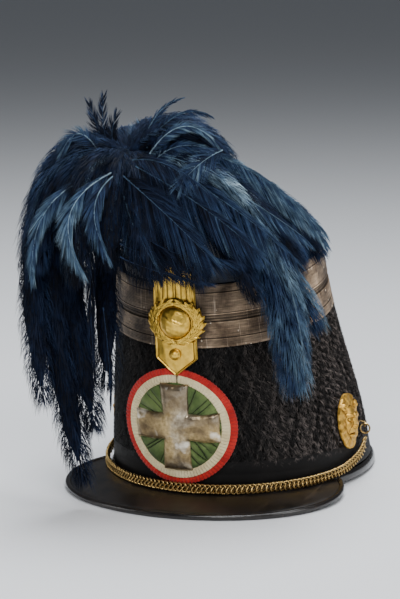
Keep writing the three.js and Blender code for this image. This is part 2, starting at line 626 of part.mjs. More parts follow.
// The origin is the middle of the whole object's lowest plane.
const box = new THREE.Box3().setFromObject(resting, true);
const centre = box.getCenter(new THREE.Vector3());
turned.position.set(-centre.x, -centre.y, -box.min.z);

export default resting;
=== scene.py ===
# %% [markdown]
# A parade shako is a tall leaning body covered in black nap, with a leather peak, lace, gilt
# stampings, a cockade, a chain and a falling plume of cock feathers. This lesson dresses its
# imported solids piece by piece. Every new piece is made in the hat's own millimetres and then
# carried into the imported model's place, so one set of sizes serves the whole script.

# %% The fixed frame
import math

import bmesh
import bpy
import numpy as np
from mathutils import Matrix, Vector


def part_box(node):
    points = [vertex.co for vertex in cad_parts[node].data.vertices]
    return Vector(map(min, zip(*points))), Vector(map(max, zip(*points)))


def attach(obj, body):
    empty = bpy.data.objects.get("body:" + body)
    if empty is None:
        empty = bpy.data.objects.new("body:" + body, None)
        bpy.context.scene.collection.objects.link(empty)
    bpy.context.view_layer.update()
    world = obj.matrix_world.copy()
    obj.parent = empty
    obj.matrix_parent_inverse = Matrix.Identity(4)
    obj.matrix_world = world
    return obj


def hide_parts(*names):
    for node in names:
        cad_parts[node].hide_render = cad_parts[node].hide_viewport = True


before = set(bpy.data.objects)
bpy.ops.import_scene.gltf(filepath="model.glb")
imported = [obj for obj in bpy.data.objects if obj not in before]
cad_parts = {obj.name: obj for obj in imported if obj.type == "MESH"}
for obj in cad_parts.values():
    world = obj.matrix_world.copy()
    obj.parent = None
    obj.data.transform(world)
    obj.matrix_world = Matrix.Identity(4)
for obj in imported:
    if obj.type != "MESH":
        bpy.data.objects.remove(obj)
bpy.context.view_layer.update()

# %% [markdown]
# The body is an oval foot and a smaller, rounder top that leans forward. One function gives any
# point of it from the angle round the body, the share of its height and an offset outwards.
# Bands, fur and fittings all read it, so they follow the same surface.

# %% The body's surface
FOOT_HALF_LENGTH = 105.6
FOOT_HALF_WIDTH = 88.0
TOP_HALF_LENGTH = 77.4
TOP_HALF_WIDTH = 67.4
TOP_SHIFT = -45.0
FRONT_HEIGHT = 143.3
REAR_HEIGHT = 168.2
WAIST = 0.28
MIDDLE_HEIGHT = (FRONT_HEIGHT + REAR_HEIGHT) / 2
HEIGHT_SWING = (REAR_HEIGHT - FRONT_HEIGHT) / 2


def height_at(theta):
    return MIDDLE_HEIGHT + HEIGHT_SWING * np.sin(theta)


def eased(share):
    return share - WAIST / (2 * math.pi) * np.sin(2 * math.pi * share)


def body_points(theta, share, offset):
    """Points of the body for arrays of angles, shares and offsets."""
    s = eased(share)
    length = FOOT_HALF_LENGTH + (TOP_HALF_LENGTH - FOOT_HALF_LENGTH) * s + offset
    width = FOOT_HALF_WIDTH + (TOP_HALF_WIDTH - FOOT_HALF_WIDTH) * s + offset
    y = TOP_SHIFT * s + length * np.sin(theta)
    return np.stack([width * np.cos(theta), y, share * height_at(theta)], -1)


def body_point(theta, share, offset):
    return Vector(body_points(theta, share, offset))


def by_share(_, level):
    return level


def from_foot(theta, level):
    return level / height_at(theta)


def from_top(theta, level):
    return 1 - level / height_at(theta)


def at_height(from_front, height, offset):
    theta = math.radians(from_front - 90)
    return body_point(theta, from_foot(theta, height), offset)


# %% [markdown]
# The hat leans back by one degree where it rests on its rear foot and its peak. The shift that
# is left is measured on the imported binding: its rearmost and lowest points are known here too.

# %% From the hat's millimetres to the frame
REST_TILT = math.radians(1.02)
ROLL = [(-4.8, 0.0), (1.2, 0.0), (2.5, 2.4), (2.2, 5.2), (-0.5, 6.6), (-4.8, 6.2)]
lean = Matrix.Rotation(-REST_TILT, 4, "X")


def measured_shift():
    low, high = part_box("base_binding")
    rear = max((lean @ body_point(math.pi / 2, from_foot(math.pi / 2, z), o)).y for o, z in ROLL)
    foot = min((lean @ body_point(math.pi / 2, 0, o)).z for o, z in ROLL if z == 0)
    return Vector(((low.x + high.x) / 2, high.y - rear / 1000, low.z - foot / 1000))


HAT_TO_FRAME = Matrix.Translation(measured_shift()) @ Matrix.Scale(0.001, 4) @ lean
print("shift in metres", [round(x, 5) for x in HAT_TO_FRAME.translation])

# %% [markdown]
# The camera comes first, because every later choice is judged through it. Its direction,
# distance and focal length in pixels were fitted to the body's outline in the photograph, with
# the optical axis off the middle. Aiming at the picture's middle instead needs no lens shift.

# %% Camera
PICTURE = (400, 599)
AZIMUTH = math.radians(21.62)
ELEVATION = math.radians(10.15)
DISTANCE = 1499.0
AIM = Vector((0, 0, 90))
FOCAL_PIXELS = 2142.0
AXIS_PIXEL = (244.09, 335.06)
SENSOR_WIDTH = 36


def make_camera():
    back = Vector((
        math.sin(AZIMUTH) * math.cos(ELEVATION),
        -math.cos(AZIMUTH) * math.cos(ELEVATION),
        math.sin(ELEVATION),
    ))
    across = Vector((math.cos(AZIMUTH), math.sin(AZIMUTH), 0))
    eye = HAT_TO_FRAME @ (AIM + back * DISTANCE)
    side = (PICTURE[0] / 2 - AXIS_PIXEL[0]) / FOCAL_PIXELS
    rise = (AXIS_PIXEL[1] - PICTURE[1] / 2) / FOCAL_PIXELS
    back = (back - across * side - back.cross(across) * rise).normalized()
    across = (across - back * across.dot(back)).normalized()
    turned = lean.to_3x3() @ Matrix((across, back.cross(across), back)).transposed()
    data = bpy.data.cameras.new("camera")
    data.sensor_width = SENSOR_WIDTH
    data.lens = FOCAL_PIXELS / max(PICTURE) * data.sensor_width
    camera = bpy.data.objects.new("camera", data)
    camera.matrix_world = Matrix.Translation(eye) @ turned.to_4x4()
    bpy.context.scene.collection.objects.link(camera)
    bpy.context.scene.camera = camera
    return camera


camera = make_camera()
print("lens", round(camera.data.lens, 1), "mm, eye height", round(camera.location.z, 3), "m")

# %% [markdown]
# A finish is a tree of nodes, and small helpers keep the trees short to read. The first makes a
# material with plain values on its shader. The second adds a node and fills or links its inputs
# by name, so that a tree reads like a list of what it holds.

# %% A finish and its nodes
def new_finish(name, roughness, metallic=0.0, **more):
    material = bpy.data.materials.new(name)
    material.use_nodes = True
    shader = material.node_tree.nodes["Principled BSDF"]
    shader.inputs["Roughness"].default_value = roughness
    shader.inputs["Metallic"].default_value = metallic
    for key, value in more.items():
        shader.inputs[key.replace("_", " ")].default_value = value
    return material


def add_node(material, kind, settings=None, **inputs):
    made = material.node_tree.nodes.new("ShaderNode" + kind)
    for key, value in (settings or {}).items():
        setattr(made, key, value)
    for key, value in inputs.items():
        socket = made.inputs[key.replace("_", " ")]
        if isinstance(value, bpy.types.NodeSocket):
            material.node_tree.links.new(value, socket)
        else:
            socket.default_value = value
    return made


# %% [markdown]
# Each of the next helpers stands for one kind of node: a place on the piece or one coordinate of
# it, an attribute kept at the corners, a noise, a ramp from a factor to colours, a mix, and a
# bump. The last one links the results to the shader. Lengths in a finish are metres.

# %% Helpers for finishes
def place_of(material, scale=(1, 1, 1), uv=None):
    """Object coordinates in metres, or a named UV map in metres, stretched by scale."""
    if uv:
        source = add_node(material, "UVMap", {"uv_map": uv}).outputs["UV"]
    else:
        source = add_node(material, "TexCoord").outputs["Object"]
    return add_node(material, "Mapping", Vector=source, Scale=scale).outputs["Vector"]


def coordinate(material, axis, scale=(1, 1, 1), uv=None):
    return add_node(material, "SeparateXYZ", Vector=place_of(material, scale, uv)).outputs[axis]


def attribute(material, name):
    return add_node(material, "Attribute", {"attribute_name": name}).outputs["Fac"]


def noise(material, scale, detail, stretch=(1, 1, 1), uv=None, distortion=0.0):
    where = place_of(material, stretch, uv)
    made = add_node(material, "TexNoise", Vector=where, Scale=scale, Detail=detail, Distortion=distortion)
    return made.outputs["Fac"]


def ramp(material, factor, stops, smooth="LINEAR"):
    made = add_node(material, "ValToRGB", Fac=factor)
    made.color_ramp.interpolation = smooth
    points = made.color_ramp.elements
    while len(points) < len(stops):
        points.new(1.0)
    for point, (position, colour) in zip(points, stops):
        point.position = position
        point.color = (*colour, 1) if hasattr(colour, "__len__") else (colour, colour, colour, 1)
    return made.outputs["Color"]


def mix(material, factor, first, second, blend="MIX"):
    def solid(colour):
        return colour if isinstance(colour, bpy.types.NodeSocket) else (*colour, 1)
    made = add_node(material, "MixRGB", {"blend_type": blend}, Fac=factor,
                    Color1=solid(first), Color2=solid(second))
    return made.outputs["Color"]


def bump(material, height, distance, strength, below=None):
    more = {"Normal": below} if below else {}
    made = add_node(material, "Bump", Height=height, Distance=distance, Strength=strength, **more)
    return made.outputs["Normal"]


def wear(material, **sockets):
    shader = material.node_tree.nodes["Principled BSDF"]
    for key, source in sockets.items():
        material.node_tree.links.new(source, shader.inputs[key.replace("_", " ")])
    return material


# %% [markdown]
# Every band, plate and relief here starts as a flat bmesh grid whose corners are moved by a
# function of their two shares, across and along. The same pieces could be carved from boxes, but
# a grid keeps clean rows that follow the surface. One that is closed on itself has its doubles
# merged and its normals worked out again.

# %% Helpers for pieces
SAME_POINT = 0.001


def shaped_grid(columns, rows, place, uv_of=None):
    bm = bmesh.new()
    layer = bm.loops.layers.uv.new("surface")
    bmesh.ops.create_grid(bm, x_segments=columns, y_segments=rows, size=0.5)
    for face in bm.faces:
        for loop in face.loops:
            u = loop.vert.co.x + 0.5
            v = loop.vert.co.y + 0.5
            loop[layer].uv = uv_of(u, v) if uv_of else (u, v)
    for vert in bm.verts:
        vert.co = place(vert.co.x + 0.5, vert.co.y + 0.5)
    return bm


def close_up(bm):
    bmesh.ops.remove_doubles(bm, verts=bm.verts, dist=SAME_POINT)
    bmesh.ops.recalc_face_normals(bm, faces=bm.faces)
    return bm


def along(table, share):
    """A point of a table's rows, with straight lines between them."""
    step = share * (len(table) - 1)
    low = min(int(step + 1e-6), len(table) - 2)
    rest = step - low
    return [a + (b - a) * rest for a, b in zip(table[low], table[low + 1])]


# %% [markdown]
# A finished mesh becomes an object at the origin, rides on the one rigid body, takes its finish in
# a material slot, and hides the imported solids it stands for. Before that, each corner keeps how
# far it lies in a hollow: tarnish stays in the hollows of metal, wear brightens the high points,
# and the folds of cloth are painted darker there as painted shade.

# %% From a mesh to a piece
def mark_hollows(bm):
    """0.5 is flat, more lies in a hollow, less on a ridge."""
    layer = bm.verts.layers.float.new("hollow")
    bm.normal_update()
    for vert in bm.verts:
        bends = [(e.other_vert(vert).co - vert.co).normalized().dot(vert.normal) for e in vert.link_edges]
        vert[layer] = 0.5 + sum(bends) / max(len(bends), 1)


def show(name, bm, finish, stands_for=(), sharp=None):
    mark_hollows(bm)
    bmesh.ops.transform(bm, matrix=HAT_TO_FRAME, verts=bm.verts)
    mesh = bpy.data.meshes.new(name)
    bm.to_mesh(mesh)
    bm.free()
    return put(name, mesh, finish, stands_for, sharp)


def put(name, mesh, finish, stands_for, sharp=None):
    mesh.shade_smooth()
    if sharp:
        mesh.set_sharp_from_angle(angle=math.radians(sharp))
    mesh.materials.append(finish)
    piece = bpy.data.objects.new(name, mesh)
    bpy.context.scene.collection.objects.link(piece)
    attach(piece, "root")
    if stands_for:
        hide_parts(*stands_for)
    print(name, len(mesh.vertices), "vertices", len(mesh.polygons), "faces")
    return piece


# %% [markdown]
# Black leather shows as a dark brown-black with a broken gloss: a fine grain, soft dents, and
# scratches that catch the light. The scratches are a noise stretched until it is a line. The
# same leather is polished brighter where it is rolled at an edge.

# %% Leather
def leather_finish(name, dull, glossy):
    made = new_finish(name, dull, Specular_IOR_Level=0.55)
    patches = noise(made, 60, 5)
    scratch = noise(made, 420, 4, (1, 0.06, 1), distortion=0.6)
    lines = ramp(made, scratch, [(0.0, 0.0), (0.60, 0.0), (0.72, 1.0), (1.0, 1.0)])
    ground = ramp(made, patches, [(0.3, (0.004, 0.0035, 0.0035)), (0.7, (0.013, 0.010, 0.0085))])
    colour = mix(made, lines, ground, (0.04, 0.028, 0.02))
    gloss = ramp(made, patches, [(0.3, glossy), (0.7, dull)])
    grain = noise(made, 1500, 2)
    soft = bump(made, patches, 0.0012, 0.25)
    return wear(made, Base_Color=colour, Roughness=gloss, Normal=bump(made, grain, 0.0002, 0.5, soft))


leather = leather_finish("black_leather", 0.46, 0.28)
patent = leather_finish("polished_edge", 0.26, 0.12)
print("leather", leather.name, patent.name)

# %% [markdown]
# The band round the foot is plain black cloth, matte and a little dusty. Its weave is a fine wave
# that reads the band's own UV map, so the threads follow the band round the hat.

# %% Band cloth
def cloth_finish():
    made = new_finish("black_band_cloth", 0.6, Specular_IOR_Level=0.2)
    weave = add_node(made, "TexWave", Vector=place_of(made, uv="surface"), Scale=520.0, Distortion=1.5)
    dust = noise(made, 90, 5)
    colour = ramp(made, dust, [(0.35, (0.0014, 0.0012, 0.0012)), (0.75, (0.005, 0.004, 0.0036))])
    return wear(made, Base_Color=colour, Normal=bump(made, weave.outputs["Fac"], 0.0003, 0.5))


band_cloth = cloth_finish()
print("cloth", band_cloth.name)

# %% [markdown]
# The felt wall is a hollow shell: its outline goes up the outside and down the inside, and the
# grid carries it once round the body. Bands, lace and binding are made by the same function. The
# wall's finish is only the dark ground under the nap.

# %% The body wall
COLUMNS = 192
WALL_OUTER = -0.9
WALL_INNER = -3.4
WALL_FOOT = 0.021
WALL_ROWS = 24
GIRTH = 0.61
GIRTH_POINTS = 181
GIRTH_OFFSET = 0.5


def band_round(profile, share_of):
    """A closed outline of (offset, level) rows, swept round the body."""
    outline = profile + profile[:1]

    def place(u, v):
        theta = u * 2 * math.pi
        offset, level = along(outline, v)
        return body_point(theta, share_of(theta, level), offset)

    def uv_of(u, v):
        return u * GIRTH, along(outline, v)[1] / 1000

    return close_up(shaped_grid(COLUMNS, len(profile), place, uv_of))


def girth(share_of, level):
    """The way once round the body, in metres."""
    turns = np.linspace(0, 2 * math.pi, GIRTH_POINTS)
    ring = [body_point(theta, share_of(theta, level), GIRTH_OFFSET) for theta in turns]
    return sum((b - a).length for a, b in zip(ring, ring[1:])) / 1000


def wall_profile():
    levels = [WALL_FOOT + (1 - WALL_FOOT) * row / WALL_ROWS for row in range(WALL_ROWS + 1)]
    outside = [(WALL_OUTER, level) for level in levels]
    inside = [(WALL_INNER, level) for _, level in reversed(outside)]
    return outside + inside


def felt_finish():
    made = new_finish("felt_ground", 0.95, Specular_IOR_Level=0.1)
    colour = ramp(made, noise(made, 300, 4), [(0.3, (0.001, 0.001, 0.001)), (0.7, (0.003, 0.0025, 0.002))])
    return wear(made, Base_Color=colour)


show("felt_body", band_round(wall_profile(), by_share), felt_finish(), ["crown_wall"],
     sharp=40)

# %% [markdown]
# The foot has two bands: matte cloth above, and a bulging leather roll bound over the edge. Each
# outline is a table of offsets and heights in millimetres, with a few extra rows where it turns.
# The cloth is a flat strip pulled tight, and the body's girth is measured at its middle.

# %% Foot band and binding
BAND_PROFILE = [(-0.5, 7.2), (0.35, 7.4), (0.5, 8.2), (0.5, 15.0), (0.42, 15.6), (0.5, 16.2),
                (0.5, 23.0), (0.3, 23.9), (-0.5, 24.0)]
BINDING_PROFILE = [(-4.8, 0.0), (1.2, 0.0), (1.8, 0.35), (2.3, 1.2), (2.5, 2.4), (2.5, 3.8),
                   (2.2, 5.2), (1.4, 6.2), (0.3, 6.7), (-0.5, 6.6), (-0.5, 2.6), (-3.6, 2.6),
                   (-3.6, 6.2), (-4.8, 6.2)]
foot_band = show("foot_band", band_round(BAND_PROFILE, from_foot), band_cloth,
                 ["base_band"], sharp=50)
girth(from_foot, 15)
show("foot_binding", band_round(BINDING_PROFILE, from_foot), patent,
     ["base_binding"], sharp=50)

# %% [markdown]
# The peak is one bent sheet of leather from the foot to its rolled edge. Its reach shrinks
# towards the two ends, and its edge lies on the floor in front. A closed section runs out over
# the top and back underneath, so the same grid makes both faces.

# %% Peak
PEAK_REACH = 36.8
PEAK_HALF_ANGLE = 66.3
PEAK_SQUARENESS = 4.45
PEAK_ROOT = 2.8
PEAK_ROOT_TOP = 2.5
PEAK_ROOT_RISE = 2.0
PEAK_ROOT_TUCK = 0.6
PEAK_ROOT_SHARE = 0.97
PEAK_EDGE_TUCK = 0.8
PEAK_HOLLOW = 1.25
PEAK_THICKNESS = 2.0
PEAK_END = 1.2
RIM_RADIUS = 2.0
FLAT_HALF_ANGLE = 22.0
SIDE_RISE = 4.6
END_CROWDING = 0.75


def foot_outwards(from_front, offset):
    theta = math.radians(from_front - 90)
    foot = Vector((FOOT_HALF_WIDTH * math.cos(theta), FOOT_HALF_LENGTH * math.sin(theta), 0))
    outwards = Vector((math.cos(theta) / FOOT_HALF_WIDTH, math.sin(theta) / FOOT_HALF_LENGTH, 0))
    return foot + outwards.normalized() * offset


def peak_edge(from_front, beyond):
    turn = min(abs(from_front) / PEAK_HALF_ANGLE, 1)
    reach = PEAK_END + PEAK_REACH * (1 - turn ** PEAK_SQUARENESS)
    point = foot_outwards(from_front, PEAK_ROOT + reach + beyond)
    past = max(abs(from_front) - FLAT_HALF_ANGLE, 0) / (PEAK_HALF_ANGLE - FLAT_HALF_ANGLE)
    floor = -(FOOT_HALF_LENGTH - point.y) * math.tan(REST_TILT)
    point.z = floor + RIM_RADIUS + SIDE_RISE * past ** 2
    return point


def evened(u):
    """Shares that crowd towards the ends, where the outline turns fastest."""
    return math.sin((u - 0.5) * math.pi) * 0.5 * END_CROWDING + (u - 0.5) * (1 - END_CROWDING) + 0.5


def peak_place(u, v):
    turn = 2 * evened(u) - 1
    share = 1 - abs(2 * v - 1)
    top = v < 0.5
    root = foot_outwards(turn * PEAK_ROOT_SHARE * PEAK_HALF_ANGLE, PEAK_ROOT - PEAK_ROOT_TUCK)
    edge = peak_edge(turn * PEAK_HALF_ANGLE, PEAK_EDGE_TUCK)
    height = PEAK_ROOT_TOP - PEAK_THICKNESS / 2 + PEAK_ROOT_RISE * turn ** 2
    point = root.lerp(edge, share)
    point.z = height + (edge.z - height) * share ** PEAK_HOLLOW
    point.z += PEAK_THICKNESS / 2 if top else -PEAK_THICKNESS / 2
    return point


show("peak_sheet", close_up(shaped_grid(140, 30, peak_place)), leather, ["peak"], sharp=60)

# %% [markdown]
# The peak's edge is turned over and stitched into a round roll. A flat grid is rolled into a tube
# along the same edge line, and its two open ends are filled.

# %% Peak roll
def rim_place(u, v):
    turn = (2 * evened(u) - 1) * PEAK_HALF_ANGLE
    centre = peak_edge(turn, RIM_RADIUS)
    ahead = (peak_edge(turn + 0.1, RIM_RADIUS) - peak_edge(turn - 0.1, RIM_RADIUS)).normalized()
    out = ahead.cross(Vector((0, 0, 1))).normalized()
    round_it = v * 2 * math.pi
    rise = Vector((0, 0, RIM_RADIUS * math.sin(round_it)))
    return centre + out * RIM_RADIUS * math.cos(round_it) + rise


rim = close_up(shaped_grid(200, 14, rim_place))
bmesh.ops.holes_fill(rim, edges=rim.edges)
show("peak_roll", close_up(rim), patent, ["peak_rim"], sharp=60)

# %% [markdown]
# The lace is a woven band of tarnished silver thread, sewn on in two widths with a narrow dark
# braid between. Its main stripes are real steps in the band's outline: each row of these tables
# is an offset and a depth below the rim, in millimetres.

# %% Lace outlines
UPPER_LACE = [(-0.25, 0.4), (0.6, 0.45), (0.85, 0.9), (0.85, 5.0), (0.5, 5.25), (0.5, 5.55), (0.85, 5.8),
              (0.9, 12.0), (0.85, 18.9), (0.45, 19.1), (0.9, 19.3), (0.9, 20.0), (-0.25, 20.2)]
BRAID = [(-0.8, 19.8), (0.1, 20.0), (0.4, 20.6), (0.1, 21.2), (0.1, 21.9), (0.45, 22.5), (0.1, 23.1),
         (0.1, 23.8), (0.35, 24.3), (0.1, 24.8), (-0.8, 25.0)]
LOWER_LACE = [(-0.25, 24.6), (0.6, 24.65), (0.85, 25.0), (0.9, 30.0), (0.85, 35.0), (0.5, 35.3),
              (0.5, 35.6), (0.85, 35.9), (0.85, 41.3), (0.6, 41.8), (-0.25, 42.0)]
print("lace outlines of", len(UPPER_LACE), len(BRAID), len(LOWER_LACE), "corners")

# %% [markdown]
# The threads run round the hat, so the pattern reads a UV map in metres: along the band, and down
# from the rim. Stretched noise gives single threads and scratches, broad noise gives tarnish, and
# small round cells are flecks of bare metal. The stripes are steps of light and dark by depth.
# The wearer's left side is painted paler, as painted light from the side lamp.

# %% Lace finish
LACE_DEPTH = 42.0
LACE_STRIPES = [(0.0, 0.75), (0.118, 0.2), (0.136, 1.3), (0.152, 0.9), (0.27, 1.35), (0.283, 0.95),
                (0.36, 0.7), (0.372, 1.05), (0.446, 0.3), (0.458, 1.8), (0.478, 0.36), (0.51, 0.7),
                (0.525, 0.25), (0.55, 0.6), (0.57, 0.25), (0.59, 1.2), (0.61, 0.95), (0.70, 1.35),
                (0.712, 0.95), (0.78, 0.65), (0.79, 1.0), (0.838, 0.2), (0.854, 1.1), (0.87, 0.75),
                (0.96, 1.3)]


def lace_threads(made, worn):
    """Dark and pale thread by wear, with scratches and flecks of bare metal."""
    threads = noise(made, 900, 4, (0.12, 1, 1), "surface")
    scratches = noise(made, 620, 3, (1, 0.05, 1), "surface", 0.3)
    large = noise(made, 14, 3, (1, 1.5, 1), "surface")
    dark = ramp(made, large, [(0.35, (0.016, 0.011, 0.008)), (0.65, (0.048, 0.030, 0.018))])
    pale = ramp(made, large, [(0.35, (0.130, 0.098, 0.070)), (0.65, (0.260, 0.190, 0.125))])
    share = ramp(made, worn, [(0.40, 0.08), (0.64, 0.85)])
    ground = mix(made, share, dark, pale)
    ground = mix(made, 1.0, ground, ramp(made, threads, [(0.3, 0.62), (0.7, 1.3)]), "MULTIPLY")
    ground = mix(made, ramp(made, scratches, [(0.62, 0.0), (0.72, 0.55)]), ground, (0.36, 0.29, 0.22))
    fleck = add_node(made, "TexVoronoi", Vector=place_of(made, (1, 1, 1), "surface"), Scale=230.0)
    spots = ramp(made, fleck.outputs["Distance"], [(0.0, 1.0), (0.15, 1.0), (0.2, 0.0)])
    chosen = ramp(made, noise(made, 120, 2, uv="surface"), [(0.54, 0.0), (0.62, 0.9)])
    lit = mix(made, chosen, (0, 0, 0), spots)
    return mix(made, lit, ground, (0.42, 0.36, 0.29))


def lace_relief(made, worn):
    weave = add_node(made, "TexWave", {"bands_direction": "Y"}, Scale=330.0, Distortion=1.2,
                     Vector=place_of(made, uv="surface"))
    ribs = add_node(made, "TexWave", {"bands_direction": "X"}, Scale=200.0, Distortion=0.6,
                    Vector=place_of(made, uv="surface"))
    first = bump(made, ribs.outputs["Fac"], 0.00012, 0.6)
    second = bump(made, weave.outputs["Fac"], 0.00018, 0.8, first)
    return bump(made, worn, 0.0005, 0.3, second)


def lace_finish():
    made = new_finish("silver_lace", 0.56, 0.25, Specular_IOR_Level=0.15)
    worn = noise(made, 48, 6, (1, 1.5, 1), "surface", 0.4)
    depth = coordinate(made, "Y", (1, 1000 / LACE_DEPTH, 1), "surface")
    stripes = ramp(made, depth, LACE_STRIPES, "CONSTANT")
    colour = mix(made, 1.0, lace_threads(made, worn), stripes, "MULTIPLY")
    # Painted light: towards the wearer's left side the colour is multiplied up to 2.3 times.
    painted_light = ramp(made, coordinate(made, "X"), [(-0.01, 0.0), (0.02, 0.3), (0.065, 1.0)])
    colour = mix(made, 1.0, colour, mix(made, painted_light, (1, 1, 1), (2.3, 2.25, 2.2)), "MULTIPLY")
    return wear(made, Base_Color=colour, Normal=lace_relief(made, worn))


silver = lace_finish()
print("lace finish of", len(silver.node_tree.nodes), "nodes")

# %% [markdown]
# Both bands are flat strips pulled tight round the body, and the body's girth is measured at the
# middle of each. The braid is too narrow to be a sheet of its own, and goes with the lower band.

# %% Lace bands
upper = show("upper_lace_band", band_round(UPPER_LACE, from_top), silver,
             ["upper_lace"], sharp=35)
lower = show("lower_lace_band", band_round(LOWER_LACE, from_top), silver,
             ["lower_lace"], sharp=35)
braid = show("braid_between", band_round(BRAID, from_top), silver, sharp=60)
girth(from_top, 10)
girth(from_top, 33)

# %% [markdown]
# The gilt fittings are thin stampings: soft high points worn to bright metal, brown tarnish in
# the hollows. The hollow attribute, measured corner by corner when a piece is shown, says where.

# %% Metal finishes
def metal_finish(name, bright, dull, deep, roughness, speckle=350.0):
    made = new_finish(name, roughness, 1.0)
    hollow = attribute(made, "hollow")
    age = noise(made, speckle, 5)
    broad = noise(made, 70, 4)
    surface = mix(made, ramp(made, age, [(0.4, 0.0), (0.72, 1.0)]), bright, dull)
    surface = mix(made, ramp(made, broad, [(0.45, 0.0), (0.8, 0.6)]), surface, dull)
    colour = mix(made, ramp(made, hollow, [(0.52, 0.0), (0.66, 0.9)]), surface, deep)
    gloss = ramp(made, age, [(0.3, roughness - 0.1), (0.75, roughness + 0.16)])
    dents = bump(made, broad, 0.0008, 0.35)
    return wear(made, Base_Color=colour, Roughness=gloss, Normal=bump(made, age, 0.00012, 0.5, dents))


gilt = metal_finish("gilt_stamping", (0.82, 0.53, 0.090), (0.64, 0.39, 0.055), (0.10, 0.05, 0.008), 0.36)
cast_gilt = metal_finish("cast_gilt", (0.70, 0.42, 0.085), (0.52, 0.28, 0.045), (0.16, 0.075, 0.012),
                         0.46, 600.0)
brass = metal_finish("chain_brass", (0.50, 0.34, 0.13), (0.28, 0.18, 0.065), (0.05, 0.03, 0.012),
                     0.34, 500.0)
print("metals", gilt.name, cast_gilt.name, brass.name)

# %% [markdown]
# The strap is one bent strip with a pointed foot. Its face is fluted above the wreath and plain
# below it, with a sunk line that follows the edge. The back is the same strip a little deeper,
# and the grid runs up the front and down the back, which closes the piece without a modifier.

# %% Strap
STRAP_HALF_WIDTH = 14.5
STRAP_TIP = 83.0
STRAP_SHOULDER = 94.5
STRAP_TOP = 157.0
STRAP_THICKNESS = 1.2
STRAP_BEND = 60.0
STRAP_FOOT_Y = -118.7
STRAP_LEAN = 0.086
FLUTES_FROM = 132
FLUTE_EDGES = (-11.6, -7.6, -4.2, 0.0, 1.6, 5.4, 8.8, 11.6)


def strap_point(x, z, out):
    y = STRAP_FOOT_Y - STRAP_LEAN * (z - STRAP_TIP) + x * x / (2 * STRAP_BEND) - out
    return Vector((x, y, z))


def groove(distance, width, depth):
    return -depth * math.exp(-(distance / width) ** 2)


def strap_relief(x, z, half):
    side = half - abs(x)
    face = groove(side - 1.9, 0.45, 0.45) + groove(side - 0.5, 0.5, -0.35)
    fluted = min(max((z - FLUTES_FROM) / 3, 0), 1)
    for edge in FLUTE_EDGES:
        face += fluted * groove(x - edge, 0.4, 0.6)
    return face + 0.12 * math.sin(x * 0.9 + z * 0.21) + 0.1 * math.sin(z * 0.5 - x * 0.4)


def strap_place(u, v):
    front = v < 0.5
    z = STRAP_TIP + (STRAP_TOP - STRAP_TIP) * (1 - abs(2 * v - 1))
    z = min(max(z, STRAP_TIP + 0.01), STRAP_TOP)
    half = STRAP_HALF_WIDTH * min((z - STRAP_TIP) / (STRAP_SHOULDER - STRAP_TIP), 1)
    x = (2 * u - 1) * half
    out = STRAP_THICKNESS + strap_relief(x, z, half) if front else 0
    edge = abs(2 * u - 1) > 0.999 or z >= STRAP_TOP or z <= STRAP_TIP + 0.02
    return strap_point(x, z, 0.3 if edge and front else out)


show("gilt_strap", close_up(shaped_grid(58, 160, strap_place)), gilt, ["plume_strap"],
     sharp=50)

# %% [markdown]
# The wreath, the bosses and the lion masks are reliefs: a height for each point of a plate. One
# function turns an outline and a height into a closed disc. The grid's rows run out from the
# middle over the face, down the edge, and back to the middle behind.

# %% Reliefs
def relief_disc(outline, height, columns, rings, bend=0.0):
    """The outline gives a point for an angle, the height a rise for a point and its share."""
    def place(u, v):
        step = round(v * (rings + 2))
        share = 1 - max(step - rings - 1, 0) if step > rings else step / rings
        x, y = outline(2 * math.pi * u)
        x, y = x * share, y * share
        z = 0 if step > rings else height(x, y, share)
        return Vector((x, y, z - bend * x * x))

    return close_up(shaped_grid(columns, rings + 2, place))


def cap(x, y, cx, cy, rx, ry, high, turn=0.0, power=0.5):
    """A round bump of the given radii and height about a centre."""
    dx, dy = x - cx, y - cy
    a = (dx * math.cos(turn) + dy * math.sin(turn)) / rx
    b = (dy * math.cos(turn) - dx * math.sin(turn)) / ry
    return high * max(1 - a * a - b * b, 0) ** power


def leaf(x, y, cx, cy, turn, length, width, high):
    """A pointed leaf with a groove along its middle."""
    dx, dy = x - cx, y - cy
    a = (dx * math.cos(turn) + dy * math.sin(turn)) / length
    b = dy * math.cos(turn) - dx * math.sin(turn)
    if abs(a) >= 1:
        return 0
    wide = width * (1 - a * a) * (1 - 0.35 * a)
    if abs(b) >= wide:
        return 0
    return high * (1 - (b / wide) ** 2) ** 0.6 * (0.75 + 0.25 * a) + groove(b, 0.28, 0.3)


def strap_frame(z, out, aside=0.0):
    origin = strap_point(aside, z, out)
    turn = Matrix.Rotation(math.pi / 2 + math.atan(STRAP_LEAN), 4, "X")
    return Matrix.Translation(origin) @ turn


# %% [markdown]
# The wreath is two laurel branches that climb from the foot to the top of an oval plate. On each
# branch the leaves stand in threes, at three distances from the middle and three angles, and the
# plate's edge is notched as their tips would notch it. Single leaves could be joined, but in a
# relief they stay one sheet of metal, as the stamping is.

# %% Laurel leaves
PLATE = (20.2, 16.2)
BRANCH_STEPS = 8
BRANCH_HALF_SWEEP = 74
LEAF_ROWS = ((0.72, 0.5), (0.86, -0.35), (0.78, 0.05))
LEAF_STEP = 0.07
LEAF_SIZE = (4.6, 2.1, 1.7)


def wreath_leaves():
    leaves = []
    for side in (-1, 1):
        for step in range(BRANCH_STEPS):
            sweep = 2 * BRANCH_HALF_SWEEP * step / (BRANCH_STEPS - 1)
            angle = math.radians(-BRANCH_HALF_SWEEP + sweep)
            rising = angle + math.pi / 2
            for radius, splay in LEAF_ROWS:
                x = PLATE[0] * radius * math.cos(angle)
                y = PLATE[1] * radius * math.sin(angle)
                turn = rising + splay
                if side < 0:
                    x, turn = -x, math.pi - turn
                leaves.append((x, y, turn))
                angle += LEAF_STEP
    return leaves


LEAVES = wreath_leaves()
print("leaves", len(LEAVES))

